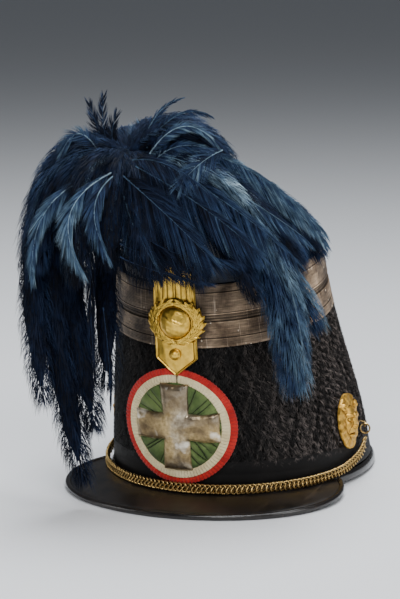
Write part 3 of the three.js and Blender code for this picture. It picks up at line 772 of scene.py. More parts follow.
# %% [markdown]
# A large thin dome is pressed up in the middle of the wreath, inside a raised ring, and the years
# have pushed its upper side in. The small dome below has the same ring. Both lie on the strap's
# slope, and the wreath's plate bends with the strap.

# %% Wreath and domes
MEDALLION_HEIGHT = 119.2
MEDALLION_ASIDE = 1.4
MEDALLION_GAP = 0.4
MEDALLION_BEND = 1 / 150
DOME = {"half_width": 11.2, "half_height": 11.0, "rise": 6.4}
SMALL_BOSS = {"height": 97.4, "radius": 3.9, "rise": 3.0, "gap": 0.3}


def wreath_edge(angle):
    climb = math.degrees(math.asin(max(min(math.sin(angle), 1), -1)))
    notch = ((climb + 90) / 18) % 1
    reach = 0.93 + 0.10 * notch ** 1.6 * (0.35 + 0.65 * abs(math.cos(angle)))
    return PLATE[0] * reach * math.cos(angle), PLATE[1] * reach * math.sin(angle)


def wreath_height(x, y, _):
    high = 1.0 + 0.5 * cap(x, y, 0, 0, 20, 16, 1)
    high += max(leaf(x, y, cx, cy, turn, *LEAF_SIZE) for cx, cy, turn in LEAVES)
    around = math.hypot(x / DOME["half_width"], y / DOME["half_height"])
    ring = math.exp(-((around - 1.06) / 0.05) ** 2)
    high = high * (1 - ring) + 2.5 * ring
    if around < 1:
        dome = 1.0 + DOME["rise"] * (1 - around ** 2.2) ** 0.62
        crease = y + 0.5 * x - 1.5
        pushed = 1.3 * (1 - math.exp(-max(crease, 0) / 2.6)) * (1 - around ** 2)
        dome -= pushed + cap(x, y, 4.2, 3.0, 4.4, 3.0, 0.6, -0.4, 1.0)
        bulge = cap(x, y, -3.5, -3.0, 6, 4, 0.35, 0.3, 1.0)
        crumpled = math.sin(x * 1.1 + 0.7 * y) * math.sin(y * 0.9 - 0.4 * x + 1)
        high = dome + bulge + 0.16 * crumpled * (1 - around ** 4)
    return high


def small_boss_height(x, y, _):
    around = math.hypot(x, y) / SMALL_BOSS["radius"]
    dome = SMALL_BOSS["rise"] * max(1 - (around / 0.86) ** 2, 0) ** 0.55
    ring = 0.5 * math.exp(-((around - 0.92) / 0.06) ** 2)
    return 0.5 + dome + ring


def circle_edge(radius):
    return lambda angle: (radius * math.cos(angle), radius * math.sin(angle))


wreath = relief_disc(wreath_edge, wreath_height, 200, 50, MEDALLION_BEND)
on_strap = strap_frame(MEDALLION_HEIGHT, STRAP_THICKNESS + MEDALLION_GAP, MEDALLION_ASIDE)
bmesh.ops.transform(wreath, matrix=on_strap, verts=wreath.verts)
show("laurel_wreath", wreath, gilt, ["laurel_medallion"], sharp=70)
boss = relief_disc(circle_edge(SMALL_BOSS["radius"]), small_boss_height, 48, 18)
on_strap = strap_frame(SMALL_BOSS["height"], STRAP_THICKNESS + SMALL_BOSS["gap"])
bmesh.ops.transform(boss, matrix=on_strap, verts=boss.verts)
show("small_dome", boss, gilt, ["small_boss"], sharp=70)

# %% [markdown]
# The lion masks sit on the sides, in a frame whose first axis runs along the wall to the rear.
# A ring of mane locks surrounds a plain lion's face built up from round bumps and grooves. They
# could be sculpted by hand, but named bumps are easy to move until the face looks right.

# %% Lion masks
LION = {"from_front": 83.5, "height": 39.8, "half_width": 14.8, "half_height": 19.2, "offset": 0.4}
MANE_LOCKS = 13


def side_frame(side, from_front, height, offset):
    origin = at_height(side * from_front, height, offset)
    ahead = (at_height(side * (from_front + 0.5), height, offset) - origin).normalized()
    rough = (at_height(side * from_front, height + 1, offset) - origin).normalized()
    out = (ahead.cross(rough) * side).normalized()
    up = (out.cross(ahead) * side).normalized()
    frame_of = Matrix((ahead, up, out)).transposed().to_4x4()
    frame_of.translation = origin
    return frame_of


def lion_edge(angle):
    swell = 0.96 + 0.04 * abs(math.sin(angle * 4 + 0.3)) ** 0.5
    narrow = 1 - 0.14 * max(-math.sin(angle), 0)
    across = LION["half_width"] * swell * narrow * math.cos(angle)
    return across, LION["half_height"] * swell * math.sin(angle)


def lion_height(x, y, share):
    angle = math.atan2(y, x)
    swirl = math.cos(MANE_LOCKS * angle + 4.5 * share)
    mane = 1.7 + 1.3 * math.sin(math.pi * min(max((share - 0.35) / 0.65, 0), 1)) + 0.36 * swirl * share
    mane += 0.25 * math.sin(x * 1.3 + 2) * math.sin(y * 1.1)
    face = cap(x, y, 0, -0.5, 9.0, 12.0, 5.0)
    face += cap(x, y, 0, 6.5, 6.2, 4.5, 1.3, 0, 1.0)
    for side in (-1, 1):
        brow = cap(x, y, side * 3.9, 4.1, 3.5, 1.6, 1.5, side * 0.3)
        eyeball = cap(x, y, side * 3.7, 1.7, 1.6, 1.1, 1.0)
        eye_hollow = cap(x, y, side * 3.7, 1.7, 2.9, 2.2, 1.2, 0, 1.0)
        muzzle = cap(x, y, side * 2.4, -6.0, 2.9, 2.5, 1.6)
        cheek = cap(x, y, side * 6.2, -2.8, 2.6, 4.2, 0.9, side * 0.3, 1.0)
        ear = cap(x, y, side * 8.4, 10.8, 2.9, 2.7, 2.6)
        ear_hollow = cap(x, y, side * 8.6, 10.6, 1.5, 1.4, 1.4)
        face += brow
        face += eyeball - eye_hollow
        face += muzzle
        face += cheek
        mane += ear - ear_hollow
    bridge = cap(x, y, 0, 0.4, 1.7, 5.6, 1.9)
    nose = cap(x, y, 0, -3.9, 2.5, 1.4, 1.3)
    face += bridge + nose
    face += cap(x, y, 0, -10.2, 3.0, 1.9, 1.6)
    face += groove(math.hypot(max(abs(x) - 3.6, 0), y + 8.3), 0.55, 1.3)
    return max(mane, face + 0.4) if face > 0.2 else mane


for side, word in ((1, "left"), (-1, "right")):
    mask = relief_disc(lion_edge, lion_height, 144, 40)
    on_side = side_frame(side, LION["from_front"], LION["height"], LION["offset"])
    bmesh.ops.transform(mask, matrix=on_side, verts=mask.verts)
    bmesh.ops.recalc_face_normals(mask, faces=mask.faces)
    show(f"lion_mask_{word}", mask, cast_gilt, [f"lion_boss_{word}"], sharp=70)

# %% [markdown]
# The cockade is pleated cloth: a red ribbon, a cream ribbon and a gathered green centre, made
# flat and then bent round the body. The ribbons are rings with a tooth for every pleat. The
# cream one is a strip whose two ends nearly meet at the top, so its ring has a narrow gap.

# %% Cockade ribbons
COCKADE = {"aside": -2.6, "height": 48.0, "radius": 40.0, "bend": 100.0, "lean": 0.125, "back": -107.1}
PLEATS = 96
STEPS_PER_PLEAT = 4
RED_SECTION = [(35.3, 0.0), (40.0, 0.0), (40.0, 0.9), (39.4, 1.35), (37.6, 1.6), (35.9, 1.35), (35.3, 0.9)]
CREAM_SECTION = [(30.2, 0.0), (35.6, 0.0), (35.6, 1.5), (35.2, 1.9), (33.0, 2.1), (30.8, 1.8), (30.2, 1.3)]
RIBBON_GAP = math.radians(2.2)
RIBBON_GAP_AT = math.radians(86)


def onto_cockade(bm):
    """Bends a flat piece about the upright and lays it on the front of the body."""
    for vert in bm.verts:
        vert.co.z -= vert.co.x ** 2 / (2 * COCKADE["bend"])
    turn = Matrix.Rotation(math.pi / 2 + math.atan(COCKADE["lean"]), 4, "X")
    origin = Vector((COCKADE["aside"], COCKADE["back"] - COCKADE["lean"] * COCKADE["radius"],
                     COCKADE["height"]))
    bmesh.ops.transform(bm, matrix=Matrix.Translation(origin) @ turn, verts=bm.verts)
    return bm


def pleated_ring(section, tooth, rise, gap=0.0):
    """A ring with the given section, whose edge and height step at each pleat."""
    outline = section + section[:1]
    outer = max(r for r, _ in section)

    def place(u, v):
        angle = RIBBON_GAP_AT + gap / 2 + u * (2 * math.pi - gap)
        radius, z = along(outline, v)
        fold = (angle / (2 * math.pi) * PLEATS) % 1
        edge = (radius / outer) ** 8
        radius -= tooth * fold * edge
        z += rise * (1 - fold) * (z > 0.5)
        return Vector((radius * math.cos(angle), radius * math.sin(angle), z))

    def uv_of(u, v):
        return u, along(outline, v)[0] / 1000

    bm = shaped_grid(PLEATS * STEPS_PER_PLEAT, len(section), place, uv_of)
    bmesh.ops.remove_doubles(bm, verts=bm.verts, dist=SAME_POINT)
    if gap:
        bmesh.ops.holes_fill(bm, edges=bm.edges)
    bmesh.ops.recalc_face_normals(bm, faces=bm.faces)
    return onto_cockade(bm)


# %% [markdown]
# The green centre is one round of soft cloth, gathered under the cross. Deep folds run out from
# it at uneven angles, seven to a quarter, each with its own depth and slant, and the cloth puffs
# up between them. It is a relief: the nearest fold gives each point's height.

# %% Green gathers
GREEN_RADIUS = 30.9
FOLDS_PER_QUARTER = 7


def green_folds():
    chance = np.random.default_rng(3)
    folds = []
    for quarter in range(4):
        for step in range(FOLDS_PER_QUARTER):
            angle = quarter * 90 + 6 + step * 13 + chance.uniform(-5, 5)
            folds.append((math.radians(angle), chance.uniform(0.5, 2.0), chance.uniform(-0.35, 0.35)))
    return folds


FOLDS = green_folds()
FAR_FROM_FOLDS = 9.0


def green_height(x, y, share):
    radius = math.hypot(x, y)
    angle = math.atan2(y, x)
    nearest = FAR_FROM_FOLDS
    deepest = 0.0
    for fold, depth, slant in FOLDS:
        turn = (angle - fold - slant * (share - 0.6) + math.pi) % (2 * math.pi) - math.pi
        gap = abs(turn) * radius
        deepest = max(deepest, depth * math.exp(-gap / 0.55))
        nearest = min(nearest, gap)
    puff = 1.2 * (1 - math.exp(-nearest / 2.2))
    small = 0.1 * math.sin(angle * 61 + 3 * share)
    tucked = min((1 - share) / 0.08, 1)
    return 0.9 + tucked * (0.7 + puff - deepest * min(share * 1.5, 1) + small * share)


print("green folds", len(FOLDS))

# %% [markdown]
# The three cloths share one finish: soiled in soft patches from dark to pale, with a fine thread,
# and painted darker in the folds, as painted shade. The ribbons are narrow, and the green centre
# is gathered.

# %% Cockade cloth
FOLD_SHADE = 0.25


def cloth(name, dark, mid, pale, fine):
    made = new_finish(name, 0.85, Sheen_Weight=0.15, Sheen_Roughness=0.5, Specular_IOR_Level=0.2)
    soil = noise(made, 90, 5)
    threads = noise(made, fine, 2)
    colour = ramp(made, soil, [(0.25, dark), (0.5, mid), (0.8, pale)])
    hollow = attribute(made, "hollow")
    # Painted shade: where the hollow attribute is high, the folds are mixed towards a quarter of the dark
    # colour.
    shade = tuple(c * FOLD_SHADE for c in dark)
    colour = mix(made, ramp(made, hollow, [(0.53, 0.0), (0.75, 0.85)]), colour, shade)
    return wear(made, Base_Color=colour, Normal=bump(made, threads, 0.0003, 0.6))


red_cloth = cloth("red_ribbon", (0.25, 0.008, 0.007), (0.40, 0.014, 0.011), (0.52, 0.035, 0.022), 1400)
cream_cloth = cloth("cream_ribbon", (0.46, 0.36, 0.19), (0.66, 0.55, 0.32), (0.82, 0.71, 0.46), 1400)
green_cloth = cloth("green_centre", (0.018, 0.032, 0.009), (0.070, 0.110, 0.030), (0.165, 0.215, 0.070),
                    1600)
red = show("red_ribbon", pleated_ring(RED_SECTION, 0.5, 0.55), red_cloth,
           ["cockade_red_ring"], sharp=30)
cream = show("cream_ribbon", pleated_ring(CREAM_SECTION, 0.1, 0.5, RIBBON_GAP), cream_cloth,
             ["cockade_cream_ring"], sharp=30)
gathered = onto_cockade(relief_disc(circle_edge(GREEN_RADIUS), green_height, 300, 26))
green = show("green_gathers", gathered, green_cloth, ["cockade_green_centre"])

# %% [markdown]
# The cross is thin silvered metal over padding, soft at the edges and full of small dents. Two
# crossed boxes would stay too hard. So a square grid loses its four corners, its outline is
# flared, and the face swells between the edges. The rim is pulled down and filled behind, so that
# the piece is closed.

# %% Cross
CROSS = {"span": 29.4, "half": 9.2, "flare": 0.9, "back": 2.6, "thickness": 2.9}
CROSS_STEP = 0.7
DENTS = 70
DENT_DEPTH = 0.45


def cross_dents():
    """A place, a radius and a depth for each dent."""
    chance = np.random.default_rng(8)
    return [(chance.uniform(-28, 28), chance.uniform(-28, 28), chance.uniform(2, 6),
             chance.uniform(-0.9, 0.6)) for _ in range(DENTS)]


def build_cross():
    bm = bmesh.new()
    cells = round(2 * CROSS["span"] / CROSS_STEP)
    bmesh.ops.create_grid(bm, x_segments=cells, y_segments=cells, size=CROSS["span"])
    half = round(CROSS["half"] / CROSS_STEP) * CROSS_STEP
    outside = [f for f in bm.faces if min(abs(c) for c in f.calc_center_median()[:2]) > half]
    bmesh.ops.delete(bm, geom=outside, context="FACES")
    dents = cross_dents()
    for vert in bm.verts:
        x, y = vert.co.x, vert.co.y
        lengthways = max(abs(x), abs(y))
        crossways = min(abs(x), abs(y))
        in_arm = lengthways > half
        flare = CROSS["flare"] * max(lengthways - half, 0) / (CROSS["span"] - half)
        to_side = half - crossways if in_arm else half - crossways + (half - lengthways) * 0.5
        to_edge = max(min(to_side, CROSS["span"] - lengthways), 0)
        high = CROSS["thickness"] * (1 - math.exp(-to_edge / 1.5))
        dented = sum(size * math.exp(-((x - cx) ** 2 + (y - cy) ** 2) / r ** 2)
                     for cx, cy, r, size in dents)
        high += DENT_DEPTH * dented * min(to_edge / 3, 1)
        if in_arm and crossways > 0:
            grow = 1 + flare / half
            if abs(x) > abs(y):
                y *= grow
            else:
                x *= grow
        wobble = 0.35 * math.sin(x * 0.35 + 1) * math.cos(y * 0.3)
        vert.co = Vector((x + wobble * 0.6, y + wobble, CROSS["back"] + max(high, 0.1)))
    rim = [e for e in bm.edges if e.is_boundary]
    pulled = bmesh.ops.extrude_edge_only(bm, edges=rim)["geom"]
    for vert in pulled:
        if isinstance(vert, bmesh.types.BMVert):
            vert.co.z = CROSS["back"] - 0.5
    bmesh.ops.holes_fill(bm, edges=[e for e in bm.edges if e.is_boundary])
    bmesh.ops.recalc_face_normals(bm, faces=bm.faces)
    return onto_cockade(bm)


# %% [markdown]
# The silvering has worn through to a yellower metal in soft patches, brown tarnish lies over
# both, most at the upper and lower ends, and small spots are painted bright as painted highlights.
# Each is a mask that mixes one more colour over the last, and the hollows come dark at the end.

# %% Cross finish
def cross_finish():
    made = new_finish("silvered_cross", 0.38, 0.82)
    broad = noise(made, 48, 3, distortion=0.8)
    fine = noise(made, 420, 5)
    silver_part = ramp(made, fine, [(0.3, (0.40, 0.33, 0.23)), (0.7, (0.78, 0.68, 0.50))])
    gold_part = ramp(made, fine, [(0.3, (0.42, 0.30, 0.13)), (0.7, (0.78, 0.58, 0.29))])
    colour = mix(made, ramp(made, broad, [(0.45, 0.0), (0.62, 1.0)]), gold_part, silver_part)
    tarnish = ramp(made, noise(made, 62, 4, distortion=0.5), [(0.42, 0.0), (0.66, 0.9)])
    colour = mix(made, tarnish, colour, (0.110, 0.074, 0.042))
    ends = ramp(made, coordinate(made, "Z"), [(0.022, 0.7), (0.034, 0.1), (0.058, 0.0), (0.067, 0.6),
                                              (0.080, 0.7)])
    colour = mix(made, ends, colour, (0.085, 0.054, 0.028))
    # Painted highlights: small spots are mixed towards a pale bright colour.
    painted_light = ramp(made, noise(made, 75, 3, distortion=0.4), [(0.56, 0.0), (0.66, 0.8)])
    colour = mix(made, painted_light, colour, (0.92, 0.86, 0.74))
    hollow = attribute(made, "hollow")
    colour = mix(made, ramp(made, hollow, [(0.52, 0.0), (0.7, 0.9)]), colour, (0.04, 0.025, 0.015))
    gloss = ramp(made, broad, [(0.4, 0.5), (0.6, 0.3)])
    grain = bump(made, fine, 0.0003, 0.6)
    dents = bump(made, noise(made, 160, 3), 0.0016, 0.5, grain)
    return wear(made, Base_Color=colour, Roughness=gloss, Normal=dents)


show("padded_cross", build_cross(), cross_finish(), ["cockade_cross"], sharp=80)

# %% [markdown]
# A curb chain's links are all alike: each is an oval twisted so that it passes over its
# neighbour on one side and under it on the other. A small ring is spun once and bent to that
# shape. It has few faces, because it is repeated about a hundred times.

# %% One link
LINK = {"pitch": 3.3, "half_length": 2.75, "half_width": 2.8, "twist": 0.9, "slant": 0.6, "wire": 0.7}
LINK_STEPS = 12
WIRE_SIDES = 6
SPIN_RADIUS = 10


def link_point(angle):
    """An oval, sheared along the chain and twisted out of its plane."""
    up = LINK["half_width"] * math.sin(angle)
    along_chain = LINK["half_length"] * math.cos(angle) + LINK["slant"] * up
    return Vector((along_chain, up, LINK["twist"] * math.sin(2 * angle)))


def one_link():
    bm = bmesh.new()
    section = bmesh.ops.create_circle(bm, segments=WIRE_SIDES, radius=LINK["wire"])
    turn = Matrix.Translation((SPIN_RADIUS, 0, 0)) @ Matrix.Rotation(math.pi / 2, 4, "X")
    bmesh.ops.transform(bm, matrix=turn, verts=section["verts"])
    bmesh.ops.spin(bm, geom=bm.edges[:], cent=(0, 0, 0), axis=(0, 0, 1), angle=2 * math.pi,
                   steps=LINK_STEPS, use_merge=True)
    for vert in bm.verts:
        angle = math.atan2(vert.co.y, vert.co.x)
        away = math.hypot(vert.co.x, vert.co.y) - SPIN_RADIUS
        middle = link_point(angle)
        ahead = (link_point(angle + 0.01) - link_point(angle - 0.01)).normalized()
        out = ahead.cross(Vector((0, 0, 1))).normalized()
        vert.co = middle + out * away + out.cross(ahead) * vert.co.z
    bmesh.ops.recalc_face_normals(bm, faces=bm.faces)
    return bm


# %% [markdown]
# The chain hangs across the front from one side's ring to the other's. Its line is read from a
# table of points: the angle from the front in degrees, the height, and the distance from the
# body. Only the left half is given, because the right half mirrors it. Each link is also turned
# a little by chance, as loose links lie.

# %% Chain
CHAIN_ROUTE = [(0, 6.5, 4.9), (25, 6.6, 4.9), (50, 7.4, 4.9), (68, 9.4, 4.6), (80, 12.6, 3.4),
               (89, 17.2, 3.3), (94.4, 24, 3.8)]
STEPS_PER_SPAN = 40
LINK_LOOSENESS = (0.05, 0.03)


def smooth_line(points):
    """A centripetal Catmull-Rom line through the points."""
    ends = [points[0] * 2 - points[1], *points, points[-1] * 2 - points[-2]]
    line = []
    for before, start, end, after in zip(ends, ends[1:], ends[2:], ends[3:]):
        t1 = (start - before).length ** 0.5
        t2 = t1 + (end - start).length ** 0.5
        t3 = t2 + (after - end).length ** 0.5
        for step in range(STEPS_PER_SPAN):
            t = t1 + (t2 - t1) * step / STEPS_PER_SPAN
            a1 = before.lerp(start, t / t1)
            a2 = start.lerp(end, (t - t1) / (t2 - t1))
            a3 = end.lerp(after, (t - t2) / (t3 - t2))
            b1 = a1.lerp(a2, t / t2)
            b2 = a2.lerp(a3, (t - t1) / (t3 - t1))
            line.append(b1.lerp(b2, (t - t1) / (t2 - t1)))
    return line + [points[-1]]


def point_along(line, travelled, where):
    return Vector([np.interp(where, travelled, line[:, axis]) for axis in range(3)])


def build_chain():
    left_half = [at_height(angle, height, out) for angle, height, out in CHAIN_ROUTE]
    right_half = [at_height(-angle, height, out) for angle, height, out in CHAIN_ROUTE[:0:-1]]
    line = np.array(smooth_line(right_half + left_half))
    travelled = np.concatenate([[0], np.cumsum(np.linalg.norm(np.diff(line, axis=0), axis=1))])
    length = travelled[-1]
    count = int((length - 2 * LINK["half_length"]) / LINK["pitch"])
    start = (length - count * LINK["pitch"]) / 2
    link = one_link()
    pattern = bpy.data.meshes.new("link")
    link.to_mesh(pattern)
    link.free()
    chain = bmesh.new()
    chance = np.random.default_rng(2)
    for number in range(count + 1):
        where = start + number * LINK["pitch"]
        here = point_along(line, travelled, where)
        ahead = point_along(line, travelled, where + 0.5)
        along_line = (ahead - here).normalized()
        outwards = along_line.cross(Vector((0, 0, 1))).normalized()
        across = outwards.cross(along_line).normalized()
        frame_of = Matrix((along_line, across, outwards)).transposed().to_4x4()
        frame_of.translation = here
        before = len(chain.verts)
        chain.from_mesh(pattern)
        chain.verts.ensure_lookup_table()
        rocked = Matrix.Rotation(chance.normal(0, LINK_LOOSENESS[0]), 4, "X")
        loose = rocked @ Matrix.Rotation(chance.normal(0, LINK_LOOSENESS[1]), 4, "Z")
        bmesh.ops.transform(chain, matrix=frame_of @ loose, verts=chain.verts[before:])
    bpy.data.meshes.remove(pattern)
    print("chain of", count + 1, "links,", round(length), "mm along")
    bmesh.ops.recalc_face_normals(chain, faces=chain.faces)
    show("curb_chain", chain, brass, ["chin_chain"])


build_chain()

# %% [markdown]
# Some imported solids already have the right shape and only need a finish: the crown's leather
# disc, the socket, and the rings and hooks at the chain's ends.

# %% Kept solids
KEPT = {"crown_top": leather, "plume_socket": gilt, "chain_ring_left": brass, "chain_ring_right": brass,
        "chain_hook_left": brass, "chain_hook_right": brass}
for name, finish in KEPT.items():
    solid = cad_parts[name]
    solid.data.materials.clear()
    solid.data.materials.append(finish)
print("kept", sorted(KEPT))

# %% [markdown]
# Hair and feather barbs are many thin strips. Thousands of objects would be slow, so each kind
# is one mesh filled from arrays: every strip is a few points along its middle, a half width at
# each of them, and a pointed tip. A tone for each point goes along as an attribute.

# %% Strips from arrays
def strips(name, middles, halves, tones, finish, stands_for=()):
    """middles and halves are (strips, points, 3) in the hat's millimetres; halves lack the tip."""
    count, points, _ = middles.shape
    pairs = points - 1
    left = middles[:, :pairs] - halves
    right = middles[:, :pairs] + halves
    body = np.stack([left, right], 2).reshape(count, pairs * 2, 3)
    corners = np.concatenate([body, middles[:, -1:]], 1)
    turn = np.array(HAT_TO_FRAME)
    placed = corners.reshape(-1, 3) @ turn[:3, :3].T + turn[:3, 3]
    per_strip = pairs * 2 + 1
    quads = [[2 * i, 2 * i + 1, 2 * i + 3, 2 * i + 2] for i in range(pairs - 1)]
    pattern = np.array(sum(quads, []) + [2 * pairs - 2, 2 * pairs - 1, 2 * pairs])
    starts = np.arange(count)[:, None] * per_strip
    loops = (starts + pattern).ravel()
    sizes = np.tile(np.array([4] * (pairs - 1) + [3]), count)
    mesh = bpy.data.meshes.new(name)
    mesh.vertices.add(len(placed))
    mesh.vertices.foreach_set("co", placed.astype(np.float32).ravel())
    mesh.loops.add(len(loops))
    mesh.loops.foreach_set("vertex_index", loops.astype(np.int32))
    mesh.polygons.add(len(sizes))
    mesh.polygons.foreach_set("loop_start", (np.cumsum(sizes) - sizes).astype(np.int32))
    mesh.update(calc_edges=True)
    shades = np.concatenate([np.repeat(tones[:, :pairs], 2, 1), tones[:, pairs:]], 1)
    tone = mesh.attributes.new("tone", "FLOAT", "POINT")
    tone.data.foreach_set("value", shades.astype(np.float32).ravel())
    return put(name, mesh, finish, stands_for)


def unit(rows):
    return rows / np.maximum(np.linalg.norm(rows, axis=-1, keepdims=True), 1e-9)


# %% [markdown]
# The plume is a bunch of drooping feathers tied to one stem. The table has a row for each lock:
# where it heads, how far it reaches and rises and drops, how it curls back, how wide and how
# pale it is, and how many loose feathers lie along its top. Headings are degrees and lengths
# millimetres.

# %% Locks of the plume
HUB = Vector((-20, -148, 226))
LOCK_COLUMNS = ("name", "heading", "reach", "rise", "drop", "back", "bend", "width", "tone", "loose")
LOCK_ROWS = [
    ("outer_fall", 200, 66, 6, 156, 10, 3.2, 11, 0.34, 3),
    ("long_fall", 186, 62, 4, 210, 29, 3.0, 13, 0.24, 3),
    ("bushy_fall", 176, 56, 4, 176, 30, 2.6, 13, 0.20, 2),
    ("inner_fall", 148, 28, 6, 150, 0, 2.6, 10, 0.18, 2),
    ("left_crown", 196, 54, 12, 44, 0, 1.8, 15, 0.38, 6),
    ("left_front", 214, 58, 4, 66, 0, 2.0, 14, 0.36, 5),
    ("pale_front", 236, 42, 4, 74, 4, 2.4, 14, 0.15, 4),
    ("short_front", 262, 24, 4, 62, 0, 2.0, 14, 0.10, 4),
    ("centre_left", 318, 26, 0, 74, 0, 1.4, 16, 0.20, 5),
    ("centre", 354, 50, 0, 76, 0, 1.0, 17, 0.16, 5),
    ("centre_right", 10, 82, 0, 86, 0, 1.0, 10, 0.22, 4),
    ("under_right", 24, 106, 0, 68, 0, 1.1, 16, 0.22, 5),
    ("under_sweep", 42, 112, 0, 66, 0, 1.1, 16, 0.20, 5),
    ("long_hang", 20, 105, 0, 146, 0, 1.7, 16, 0.74, 4),
    ("second_hang", 34, 124, -2, 112, 0, 1.0, 13, 0.62, 4),
    ("low_sweep", 42, 130, 0, 66, 0, 1.15, 14, 0.48, 6),
    ("middle_sweep", 52, 136, -6, 58, 0, 1.15, 14, 0.45, 6),
    ("high_sweep", 64, 128, 3, 50, 0, 1.15, 14, 0.50, 6),
    ("near_crest", 32, 58, 16, 0, 0, 1.2, 13, 0.28, 5),
    ("middle_crest", 56, 76, 20, 14, 0, 1.2, 14, 0.25, 5),
    ("far_crest", 84, 72, 18, 30, 0, 1.2, 14, 0.25, 5),
    ("back", 112, 58, 14, 42, 0, 1.6, 14, 0.25, 4),
    ("back_left", 150, 46, 14, 50, 0, 1.8, 14, 0.25, 4),
]
LOCKS = [dict(zip(LOCK_COLUMNS, row)) for row in LOCK_ROWS]
print("locks", len(LOCKS))

# %% [markdown]
# A lock leaves the hub, arches over and falls, and it hangs clear of the hat. So a point of its
# line that would lie inside the body is pushed out, upwards or sideways, whichever is nearer.

# %% Lines of the locks
LOCK_CLEARANCE = 3.5


def clear_of_body(point, margin):
    turn = min(max((point.y - TOP_SHIFT) / TOP_HALF_LENGTH, -1.2), 1.2)
    rim = MIDDLE_HEIGHT + HEIGHT_SWING * turn
    s = eased(min(max(point.z / rim, 0), 1))
    length = FOOT_HALF_LENGTH + (TOP_HALF_LENGTH - FOOT_HALF_LENGTH) * s + margin
    width = FOOT_HALF_WIDTH + (TOP_HALF_WIDTH - FOOT_HALF_WIDTH) * s + margin
    y = point.y - TOP_SHIFT * s
    share = math.hypot(point.x / width, y / length)
    if share >= 1 or point.z > rim + margin:
        return point
    up = rim + margin - point.z
    aside = (1 / max(share, 1e-6) - 1) * math.hypot(point.x, y)
    if up < aside:
        return Vector((point.x, point.y, rim + margin))
    return Vector((point.x / share, TOP_SHIFT * s + y / share, point.z))


def lock_point(lock, u, margin):
    heading = math.radians(lock["heading"])
    away = lock["reach"] * (1 - max(1 - u, 0) ** lock["bend"]) - lock["back"] * u ** 3
    rise = lock["rise"] * math.sin(math.pi * u ** 0.8) - lock["drop"] * u * u
    point = HUB + Vector((away * math.cos(heading), away * math.sin(heading), rise))
    return clear_of_body(point, margin)


# %% [markdown]
# Down and feathers grow from a line, so each line is turned into rows of points, with three
# directions at every one: ahead, to the side and out. Any value along it is then read from the
# rows. Slow sines in two directions give an uneven pattern that never jumps, for tufts and nap.

# %% Lines and their frames
LINE_POINTS = 28


def lock_line(lock, margin, end=1.0):
    shares = np.linspace(0.03, end, LINE_POINTS)
    line = np.array([lock_point(lock, u, margin) for u in shares])
    heading = math.radians(lock["heading"])
    return line, np.array([-math.sin(heading), math.cos(heading), 0.0])


def frames_of(line, across):
    ahead = unit(np.gradient(line, axis=0))
    out = unit(np.cross(ahead, across))
    return ahead, unit(np.cross(out, ahead)), out


def line_length(line):
    return float(np.linalg.norm(np.diff(line, axis=0), axis=1).sum())


def rows_at(rows, shares):
    steps = np.linspace(0, 1, len(rows))
    return np.stack([np.interp(shares, steps, rows[:, i]) for i in range(3)], -1)


def waves(first, second, seeds):
    """Each seed is a sine's two rates, its phase and its size."""
    total = 0
    for across, up, phase, size in seeds:
        total = total + size * np.sin(across * first + up * second + phase)
    return total


# %% [markdown]
# Down barbs cover a lock all round, like a fox's tail: each is rooted under the surface, leans
# forward along the lock and bends back to it. Their length, lean and tone wander in soft waves,
# so they fall into tufts. Barbs that face up are painted paler, and those facing the wearer's
# left a little paler too: painted light from above and from the side lamp.

# %% Down of a lock
DOWN_DENSITY = 0.40
DOWN_ROOT = 0.74
DOWN_LENGTH = 7.0
DOWN_HALF_WIDTH = 0.24
FLATNESS = 0.85
DARK_TO_PALE = np.array([-0.16, -0.02, 0.14])
HUB_SHADE = 0.34
HUB_SHADE_REACH = 16
BUSHY_END = 0.32
LONG_FALL = 140
DOWNWARDS = np.array([0, 0, -1.0])


def fullness(shares):
    return np.minimum(1, 0.4 + 2 * shares) * np.sqrt(np.maximum(1 - shares ** 16, 0)) + 0.04


def down_barbs(lock, chance):
    line, across = lock_line(lock, LOCK_CLEARANCE)
    length = line_length(line)
    count = int(length * lock["width"] * 5 * DOWN_DENSITY)
    s = 0.03 + 0.97 * chance.uniform(0, 1, count) ** 0.85
    round_it = chance.uniform(-math.pi, math.pi, count)
    centre, forward, aside, lift = (rows_at(rows, s) for rows in (line, *frames_of(line, across)))
    reach = lock["width"] * fullness(s) * DOWN_ROOT
    radial = aside * np.cos(round_it)[:, None] + lift * (FLATNESS * np.sin(round_it))[:, None]
    root = centre + radial * reach[:, None]
    away = unit(radial)
    tufts = [(length / 9, 2, chance.uniform(0, 6), 0.5), (length / 5, -3, chance.uniform(0, 6), 0.35),
             (length / 3, 7, chance.uniform(0, 6), 0.3)]
    tuft = waves(s, round_it, tufts)
    bushy = BUSHY_END * s * (lock["drop"] > LONG_FALL)
    angle = 0.50 - 0.1 * s + bushy + 0.16 * tuft + chance.normal(0, 0.10, count)
    size = (DOWN_LENGTH * (1 + bushy + 0.22 * tuft) * chance.uniform(0.6, 1.2, count))[:, None]
    way = forward * np.cos(angle)[:, None] + away * np.sin(angle)[:, None]
    middle = root + way * size * 0.5
    tip = root + way * size + (forward * 0.2 - away * 0.16 + DOWNWARDS * 0.14) * size
    flat = unit(np.cross(way, away))
    twist = chance.normal(0, 0.35, count)[:, None]
    half = unit(flat * np.cos(twist) + away * np.sin(twist)) * DOWN_HALF_WIDTH
    halves = np.stack([half, half * 0.8], 1)
    # Painted light: barbs facing up, and a little those facing the wearer's left, get paler tones.
    painted_top_side_light = 0.42 * np.clip(away[:, 2], 0, 1) + 0.12 * np.clip(away[:, 0], 0, 1)
    tones = lock["tone"] + painted_top_side_light - 0.22 + 0.18 * tuft + chance.normal(0, 0.035, count)
    tones -= HUB_SHADE * np.exp(-s * length / HUB_SHADE_REACH)
    return np.stack([root, middle, tip], 1), halves, tones[:, None] + DARK_TO_PALE


